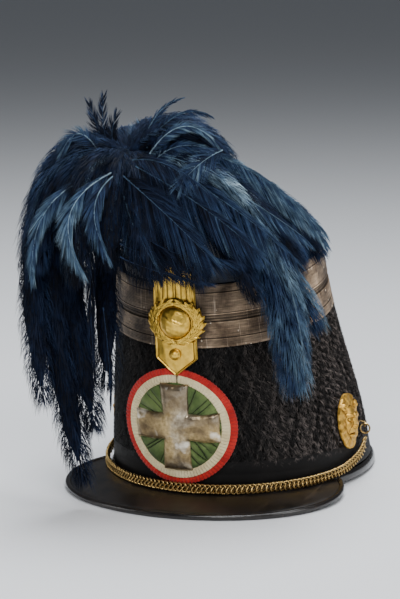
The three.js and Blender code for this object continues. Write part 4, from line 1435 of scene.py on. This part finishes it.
# %% [markdown]
# A loose feather is a shaft with a flat vane on both sides. Its barbs leave the shaft at an angle
# that closes towards the tip, droop, and cling together in small clumps, which notches the edge.
# All barbs of a feather are worked out at once in arrays.

# %% One feather
BARB_STEPS = np.array([0.0, 0.5, 1.0])
BARB_SPACING = 0.33
BARB_HALF_WIDTH = 0.18
CLUMP_LENGTH = 2.2
FEATHER_SHADE_REACH = 13


def feather_barbs(line, across, vane, tone, chance, angle_at_root=1.05, droop=0.16):
    ahead_rows, side_rows, out_rows = frames_of(line, across)
    roll = chance.normal(0, 0.25)
    side_rows, out_rows = (side_rows * math.cos(roll) + out_rows * math.sin(roll),
                           out_rows * math.cos(roll) - side_rows * math.sin(roll))
    length = line_length(line)
    count = int(length * 2 / BARB_SPACING)
    s = np.sort(chance.uniform(0.02, 1.0, count))
    sign = chance.choice([-1.0, 1.0], count)
    root, ahead, aside, lift = (rows_at(rows, s) for rows in (line, ahead_rows, side_rows, out_rows))
    cell = np.floor(s * length / CLUMP_LENGTH)
    clump = cell.astype(int) * 2 + (sign > 0)
    clumps = clump.max() + 1
    clump_angle = chance.normal(0, 0.05, clumps)[clump]
    clump_size = chance.uniform(0.86, 1.08, clumps)[clump]
    clump_tone = chance.normal(0, 0.09, clumps)[clump]
    to_middle = (cell + 0.6) * CLUMP_LENGTH - s * length
    angle = angle_at_root - 0.6 * s ** 1.3 + clump_angle + chance.normal(0, 0.05, count)
    start = np.minimum(1, 0.35 + s * 4)
    size = vane * start * (1 - 0.45 * s ** 4) * clump_size * chance.uniform(0.85, 1.06, count)
    spread = chance.normal(0.0, 0.22, count)
    outwards = aside * (sign * np.cos(spread))[:, None] + lift * np.sin(spread)[:, None]
    way = ahead * np.cos(angle)[:, None] + outwards * np.sin(angle)[:, None]
    way = unit(way + DOWNWARDS * droop)
    t = BARB_STEPS[None, :, None]
    long = size[:, None, None]
    middles = (root[:, None] + way[:, None] * t * long + lift[:, None] * (t - t ** 2) * 0.3 * long
               + ahead[:, None] * (t ** 2 * (0.32 * size + 0.2 * to_middle)[:, None, None])
               + DOWNWARDS * t ** 2 * droop * long)
    flat = unit(np.cross(way, lift))
    twist = chance.normal(0, 0.25, count)[:, None]
    half = unit(flat * np.cos(twist) + lift * np.sin(twist)) * BARB_HALF_WIDTH
    halves = np.stack([half, half * 0.85], 1)
    tones = tone + clump_tone + chance.normal(0, 0.06, count)
    tones -= HUB_SHADE * np.exp(-s * length / FEATHER_SHADE_REACH)
    return middles, halves, tones[:, None] + DARK_TO_PALE


# %% [markdown]
# Two more helpers finish a feather. Its shaft is drawn as its own pair of strips, and a loose
# feather takes its line from a lock: it wanders a little from it and lies along its upper side.

# %% Shafts and loose feathers
SHAFT_HALF_WIDTHS = (0.45, 0.15)
SHAFT_PALER = 0.3


def shaft_strips(line, across, tone):
    """The shaft is two crossed strips, so that it shows from every side."""
    _, side, out = frames_of(line, across)
    width = np.linspace(*SHAFT_HALF_WIDTHS, len(line) - 1)[:, None]
    halves = np.stack([side[:-1] * width, out[:-1] * width])
    return np.stack([line, line]), halves, np.full((2, len(line)), tone + SHAFT_PALER)


def loose_feather(lock, chance):
    wander = dict(lock)
    wander["heading"] += chance.normal(0, 3.0)
    wander["reach"] *= chance.uniform(0.92, 1.04)
    wander["drop"] *= chance.uniform(0.92, 1.02)
    line, across = lock_line(wander, LOCK_CLEARANCE, chance.uniform(0.75, 1.0))
    _, side, out = frames_of(line, across)
    shares = np.linspace(0, 1, LINE_POINTS)[:, None]
    grown = np.minimum(shares * 3, 1) * lock["width"]
    return line + side * grown * chance.uniform(-0.5, 0.5) + out * grown * chance.uniform(0.25, 0.5), across


# %% [markdown]
# Some feathers stand apart from the locks and catch the eye: a fern-like sprig, thin wisps over
# the crown, curls, the pale pair at the left, broad dark ones in front, and short ones that hang
# over the strap's upper end. Others fill gaps between the locks. Each is a curve through three
# points, in millimetres from the plume's hub: to the right, up, and towards the viewer, as they
# were measured in the photograph's own direction.

# %% Feathers that stand apart
APART_COLUMNS = ("name", "start", "middle", "end", "vane", "tone", "angle", "droop")
APART_ROWS = [
    ("curl", (60, 8, 26), (47, 1, 34), (34, -12, 34), 13, 0.62, 1.1, 0.2),
    ("high_wisp", (8, 6, 0), (18, 27, 0), (33, 38, 0), 6, 0.50, 0.6, 0.1),
    ("middle_wisp", (12, 7, 4), (30, 27, 4), (51, 28, 4), 7, 0.45, 0.7, 0.2),
    ("low_wisp", (14, 4, 8), (35, 21, 8), (56, 10, 8), 8, 0.66, 0.7, 0.2),
    ("arc_wisp", (14, -3, 16), (34, 10, 18), (58, 4, 16), 8, 0.56, 0.8, 0.2),
    ("left_sprig", (-11, 4, 0), (-18, 17, 0), (-24, 35, 0), 8, 0.26, 0.95, 0.0),
    ("middle_sprig", (-9, 4, 0), (-15, 18, 0), (-15, 39, 0), 8, 0.28, 0.95, 0.0),
    ("right_sprig", (-6, 6, 0), (-10, 15, 0), (-7, 28, 0), 8, 0.28, 0.95, 0.0),
    ("left_curl", (-16, 2, 8), (-30, 17, 12), (-42, 2, 10), 9, 0.62, 0.9, 0.2),
    ("pale_left", (-20, -9, 20), (-50, -30, 30), (-59, -72, 24), 13, 0.64, 0.75, 0.3),
    ("pale_front", (-9, -6, 26), (-34, -30, 36), (-28, -64, 34), 14, 0.70, 0.75, 0.3),
    ("violet_front", (-8, -8, 28), (-19, -28, 38), (-11, -56, 36), 12, 0.54, 0.75, 0.3),
    ("front_fall", (-3, -14, 22), (6, -42, 30), (18, -62, 30), 16, 0.44, 0.9, 0.3),
    ("broad_dark", (-2, -8, 24), (24, -30, 34), (50, -56, 34), 22, 0.36, 0.95, 0.2),
    ("broad_low", (4, -16, 18), (30, -46, 28), (60, -60, 28), 20, 0.24, 0.95, 0.3),
    ("broad_right", (6, -2, 26), (46, -26, 30), (82, -56, 26), 20, 0.38, 0.9, 0.25),
    ("far_right", (14, 2, 16), (60, -24, 22), (104, -60, 18), 18, 0.44, 0.9, 0.3),
    ("grey_front", (4, 2, 28), (30, -2, 36), (62, -26, 32), 13, 0.36, 0.8, 0.4),
    ("ridge_low", (24, 0, 10), (68, -20, 12), (112, -50, 6), 13, 0.56, 0.7, 0.3),
    ("ridge_middle", (34, 6, 0), (78, -8, 0), (124, -46, -4), 13, 0.62, 0.7, 0.3),
    ("ridge_high", (40, 2, -4), (84, -18, -6), (124, -52, -10), 13, 0.68, 0.7, 0.3),
    ("strap_fringe", (-6, -28, 24), (18, -50, 30), (46, -58, 30), 17, 0.14, 0.9, 0.7),
    ("strap_cover", (-4, -38, 24), (12, -54, 29), (34, -62, 30), 14, 0.12, 1.0, 0.5),
    ("cover_left", (2, -44, 26), (8, -58, 30), (13, -67, 31), 10, 0.12, 0.6, 0.4),
    ("cover_middle", (12, -42, 27), (18, -58, 31), (21, -69, 32), 10, 0.14, 0.6, 0.4),
    ("cover_right", (24, -44, 27), (28, -58, 31), (33, -68, 32), 10, 0.14, 0.6, 0.4),
    ("strap_upper", (-4, -50, 28), (18, -59, 30), (46, -67, 31), 12, 0.14, 0.45, 0.1),
    ("strap_band", (-4, -58, 30), (20, -67, 32), (50, -74, 32), 13, 0.20, 0.45, 0.1),
    ("gap_fill", (-13, -30, 2), (-9, -48, 2), (-4, -64, 2), 13, 0.05, 0.6, 0.4),
    ("left_fill", (-20, -34, -4), (-25, -74, -6), (-23, -140, -8), 12, 0.06, 0.7, 0.5),
    ("inner_tail", (-17, -96, -6), (-14, -128, -8), (-13, -157, -8), 9, 0.16, 0.6, 0.4),
    ("front_fill", (-16, -22, 6), (-20, -40, 8), (-8, -58, 8), 15, 0.08, 0.9, 0.5),
    ("under_fill", (10, -20, 8), (48, -42, 10), (86, -60, 8), 20, 0.10, 0.85, 0.6),
    ("inner_fill", (24, -4, 2), (66, -30, 4), (104, -56, 0), 20, 0.12, 0.85, 0.6),
]
APART = [dict(zip(APART_COLUMNS, row)) for row in APART_ROWS]
print("feathers apart", len(APART))


def apart_feather(row):
    rightwards = Vector((math.cos(AZIMUTH), math.sin(AZIMUTH), 0))
    towards = Vector((math.sin(AZIMUTH), -math.cos(AZIMUTH), 0))
    start, middle, end = (HUB + rightwards * right + towards * near + Vector((0, 0, up))
                          for right, up, near in (row["start"], row["middle"], row["end"]))
    handle = middle * 2 - (start + end) / 2
    line = [start.lerp(handle, t).lerp(handle.lerp(end, t), t) for t in np.linspace(0, 1, LINE_POINTS)]
    across = (end - start).cross(towards).normalized()
    return np.array([list(point) for point in line]), np.array(across)


# %% [markdown]
# Dyed feather is matte and deep blue. The tone attribute, which carries painted shade near the hub
# and painted light on the upper sides, picks between black, navy, mid blue and a pale teal, and a
# fine noise breaks it up further.

# %% Feather finish
def feather_finish():
    made = new_finish("blue_feather", 0.6, Sheen_Weight=0.14, Sheen_Roughness=0.4, Specular_IOR_Level=0.1)
    made.node_tree.nodes["Principled BSDF"].inputs["Sheen Tint"].default_value = (0.4, 0.62, 1.0, 1)
    tone = attribute(made, "tone")
    colour = ramp(made, tone, [(0.0, (0.0008, 0.0014, 0.0048)), (0.25, (0.0046, 0.0095, 0.027)),
                               (0.5, (0.017, 0.034, 0.080)), (0.75, (0.066, 0.115, 0.172)),
                               (1.0, (0.23, 0.32, 0.38))])
    patches = ramp(made, noise(made, 160, 3), [(0.3, 0.55), (0.7, 1.3)])
    return wear(made, Base_Color=mix(made, 1.0, colour, patches, "MULTIPLY"))


feather_blue = feather_finish()
print("feather finish", feather_blue.name)

# %% [markdown]
# The dark core inside the locks shows only as a deep ground between the barbs. Its finish is
# painted shade: nearly black, matte, and only a little bluer in places.

# %% Core finish
def painted_shade_finish():
    made = new_finish("painted_shade_core", 0.9, Specular_IOR_Level=0.1)
    colour = ramp(made, noise(made, 400, 4), [(0.3, (0.0015, 0.0025, 0.007)), (0.7, (0.005, 0.011, 0.030))])
    return wear(made, Base_Color=colour)


# %% [markdown]
# The whole plume is gathered here: the down of every lock, its loose feathers, and the feathers
# apart. One mesh of all the barbs would be too heavy, so the locks are dealt out to four meshes,
# and the shafts make a fifth. All chance comes from one seed, in a fixed order, so that the plume
# is the same each time.

# %% The whole plume
PLUME_PARTS = 4
SLIM_VANE = 0.5


def build_plume():
    chance = np.random.default_rng(11)
    parts = [[] for _ in range(PLUME_PARTS)]
    shafts = []

    def add_feather(line, across, vane, tone, part, **more):
        parts[part].append(feather_barbs(line, across, vane, tone, chance, **more))
        shafts.append(shaft_strips(line, across, tone))

    for index, lock in enumerate(LOCKS):
        part = index % PLUME_PARTS
        parts[part].append(down_barbs(lock, chance))
        for _ in range(lock["loose"]):
            line, across = loose_feather(lock, chance)
            tone = lock["tone"] + 0.14 + chance.normal(0, 0.18)
            slim = SLIM_VANE if lock["drop"] > LONG_FALL else 1.0
            add_feather(line, across, slim * lock["width"] * chance.uniform(0.6, 0.95), tone, part)
    for index, row in enumerate(APART):
        line, across = apart_feather(row)
        add_feather(line, across, row["vane"], row["tone"], index % PLUME_PARTS,
                    angle_at_root=row["angle"], droop=row["droop"])
    for index, part in enumerate(parts):
        middles, halves, tones = (np.concatenate(rows) for rows in zip(*part))
        stands_for = ["plume_feathers"] if index == 0 else []
        strips(f"plume_barbs_{index + 1}", middles, halves, tones, feather_blue, stands_for)
    middles, halves, tones = (np.concatenate(rows) for rows in zip(*shafts))
    strips("plume_shafts", middles, halves, tones, feather_blue)


build_plume()

# %% [markdown]
# Inside each lock the feathers crowd into a dark core that no light passes. Filling it with more
# barbs would cost millions of faces that nobody sees. A tube along the lock, bent from a flat
# grid, does the same, with a ball at the hub where all of them are tied.

# %% The plume's core
CORE_SHARE = 0.76
CORE_END = 0.95
CORE_BALL_AT = (4, 4, -16)
CORE_BALL_RADII = (18, 15, 22)


def build_plume_core():
    bm = bmesh.new()
    for lock in LOCKS:
        heading = math.radians(lock["heading"])
        across = Vector((-math.sin(heading), math.cos(heading), 0))
        grid = bmesh.ops.create_grid(bm, x_segments=20, y_segments=10, size=0.5)
        for vert in grid["verts"]:
            u = 0.02 + CORE_END * (vert.co.x + 0.5)
            round_it = vert.co.y * 2 * math.pi
            here = lock_point(lock, u, LOCK_CLEARANCE)
            ahead = (lock_point(lock, u + 0.02, LOCK_CLEARANCE) - here).normalized()
            out = across.cross(ahead).normalized()
            closing = math.sqrt(max(1 - (u / (CORE_END + 0.02)) ** 12, 0.01))
            full = min(1, 0.4 + 2 * u) * closing * CORE_SHARE * lock["width"]
            full *= 1 + 0.12 * math.sin(u * 37 + 3 * math.sin(round_it))
            vert.co = here + across * math.cos(round_it) * full + out * math.sin(round_it) * full * FLATNESS
    ball = bmesh.ops.create_icosphere(bm, subdivisions=3, radius=1)
    for vert in ball["verts"]:
        place = [middle + radius * share
                 for middle, radius, share in zip(CORE_BALL_AT, CORE_BALL_RADII, vert.co)]
        vert.co = HUB + Vector(place)
    show("plume_core", close_up(bm), painted_shade_finish())


build_plume_core()

# %% [markdown]
# The nap is short black hair, brushed down and back, that parts in soft waves. A hair system
# doesn't export as a mesh, so each hair here is one strip of three points: its root on the felt,
# a lifted middle, and a tip laid down again. The waves come from a few slow sines of the angle
# and the height. The wearer's left side gets paler tips in small ripples, a painted sheen where
# the side lamp glances off the hair.

# %% Nap
HAIR_COUNT = 88000
NAP_PARTS = 2
NAP_FROM_FOOT = 22.0
NAP_FROM_TOP = 40.5
HAIR_LENGTH = 3.9
HAIR_HALF_WIDTH = 0.15
ROOT_TO_TIP = np.array([-0.2, 0.0, 0.1])
NAP_WAVES = [(9, 0.05, 0.3, 0.25), (31, -0.15, 1.1, 0.3), (67, 0.36, 2.0, 0.35), (103, 0.51, 0.7, 0.3),
             (-89, 0.47, 4.0, 0.35)]
NAP_RIPPLES = [(46, 1.15, 0.4, 0.5), (-38, 1.45, 2.1, 0.5)]


def build_nap(finish):
    chance = np.random.default_rng(5)
    for part in range(NAP_PARTS):
        count = HAIR_COUNT // NAP_PARTS
        theta = chance.uniform(0, 2 * math.pi, count)
        low = from_foot(theta, NAP_FROM_FOOT)
        high = from_top(theta, NAP_FROM_TOP)
        share = low + (high - low) * chance.uniform(0, 1, count) ** 1.1
        root = body_points(theta, share, WALL_OUTER)
        step = 0.002
        around = unit(body_points(theta + step, share, WALL_OUTER) - root)
        up = unit(body_points(theta, share + step, WALL_OUTER) - root)
        out = unit(np.cross(around, up))
        height = share * height_at(theta)
        sway = waves(theta, height, NAP_WAVES) + chance.normal(0, 0.28, count)
        way = -up * np.cos(sway)[:, None] + around * np.sin(sway)[:, None]
        size = HAIR_LENGTH * chance.uniform(0.6, 1.25, count)[:, None]
        lift = 1.25 + 0.4 * waves(theta * 1.3, height * 1.2, NAP_WAVES) + chance.normal(0, 0.25, count)
        lift = lift[:, None]
        middle = root + way * size * 0.5 + out * lift
        curl = around * chance.normal(0, 0.8, count)[:, None]
        tip = root + way * size + out * (lift * 0.9) + curl
        middles = np.stack([root, middle, tip], 1)
        half = unit(np.cross(way, out) + out * chance.normal(0, 0.35, count)[:, None]) * HAIR_HALF_WIDTH
        halves = np.stack([half, half * 0.8], 1)
        tones = 0.38 + 0.25 * waves(theta * 0.7 + 1, height * 0.6, NAP_WAVES) + chance.normal(0, 0.2, count)
        # Painted sheen: paler tips in ripples, strongest on the wearer's left side.
        painted_light = 0.12 + 0.55 * np.exp(5 * (np.cos(theta + 0.3) - 1))
        tones += painted_light * np.clip(waves(theta, height, NAP_RIPPLES), 0, 1)
        tones = tones[:, None] + ROOT_TO_TIP
        strips(f"nap_{part + 1}", middles, halves, tones, finish)


# %% [markdown]
# Each hair goes from black at its root to a dark brown at its tip, by the tone attribute. The
# colour is multiplied up towards the wearer's left side, as painted light from the side lamp.

# %% Nap finish
def nap_finish():
    made = new_finish("black_nap", 0.42, Specular_IOR_Level=0.15)
    tone = attribute(made, "tone")
    colour = ramp(made, tone, [(0.2, (0.0012, 0.0010, 0.0009)), (0.55, (0.0048, 0.0040, 0.0036)),
                               (1.0, (0.052, 0.043, 0.038))])
    # Painted light: the colour is multiplied up to 4.8 times towards the wearer's left side.
    painted_light = ramp(made, coordinate(made, "X"), [(0.035, 0.0), (0.085, 0.9)])
    colour = mix(made, 1.0, colour, mix(made, painted_light, (1, 1, 1), (4.8, 4.8, 4.9)), "MULTIPLY")
    return wear(made, Base_Color=colour)


build_nap(nap_finish())

# %% [markdown]
# The floor is one large pale face, kept apart from the hat's body. It only catches the soft
# shadow and gives the metal something to reflect.

# %% Floor
FLOOR_HALF_SIZE = 12
FLOOR_COLOUR = (0.72, 0.73, 0.75, 1)


def make_floor():
    bm = bmesh.new()
    bmesh.ops.create_grid(bm, x_segments=1, y_segments=1, size=FLOOR_HALF_SIZE)
    mesh = bpy.data.meshes.new("floor")
    bm.to_mesh(mesh)
    bm.free()
    floor = bpy.data.objects.new("floor", mesh)
    paint = new_finish("pale_floor", 0.6)
    paint.node_tree.nodes["Principled BSDF"].inputs["Base Color"].default_value = FLOOR_COLOUR
    mesh.materials.append(paint)
    bpy.context.scene.collection.objects.link(floor)


make_floor()
print("floor of", 2 * FLOOR_HALF_SIZE, "m")

# %% [markdown]
# Four large soft lights and a faint grey sky light the hat, as in a studio: the key from above
# the viewer, a weak one from the left, one that picks out the right side, and a cool broad one
# overhead that lies on the feathers. Each row of the table is a place, an aim, a size in metres,
# a power in watts and a colour.

# %% Lights
LIGHT_ROWS = [
    ("key_light", (0.5, -1.5, 1.3), (0, 0, 0.1), (0.9, 0.9), 24, (1, 1, 1)),
    ("left_light", (-1.4, -0.9, 0.7), (0, 0, 0.1), (0.6, 1.0), 7, (1, 1, 1)),
    ("right_light", (1.5, -0.4, 0.9), (0, 0, 0.1), (0.6, 1.1), 12, (1, 1, 1)),
    ("top_light", (0.1, 0.15, 1.6), (0, 0, 0.15), (1.2, 0.9), 40, (0.94, 0.97, 1.0)),
]
SKY_COLOUR = (0.62, 0.66, 0.72, 1)
SKY_STRENGTH = 0.17


def softbox(name, place, aim, size, power, colour):
    data = bpy.data.lights.new(name, "AREA")
    data.shape = "RECTANGLE"
    data.size, data.size_y = size
    data.energy = power
    data.color = colour
    light = bpy.data.objects.new(name, data)
    light.location = place
    light.rotation_euler = (Vector(aim) - Vector(place)).to_track_quat("-Z", "Y").to_euler()
    bpy.context.scene.collection.objects.link(light)


def make_sky():
    world = bpy.data.worlds.new("studio")
    world.use_nodes = True
    background = world.node_tree.nodes["Background"]
    background.inputs["Color"].default_value = SKY_COLOUR
    background.inputs["Strength"].default_value = SKY_STRENGTH
    bpy.context.scene.world = world


for row in LIGHT_ROWS:
    softbox(*row)
make_sky()
print("lights", len(LIGHT_ROWS))
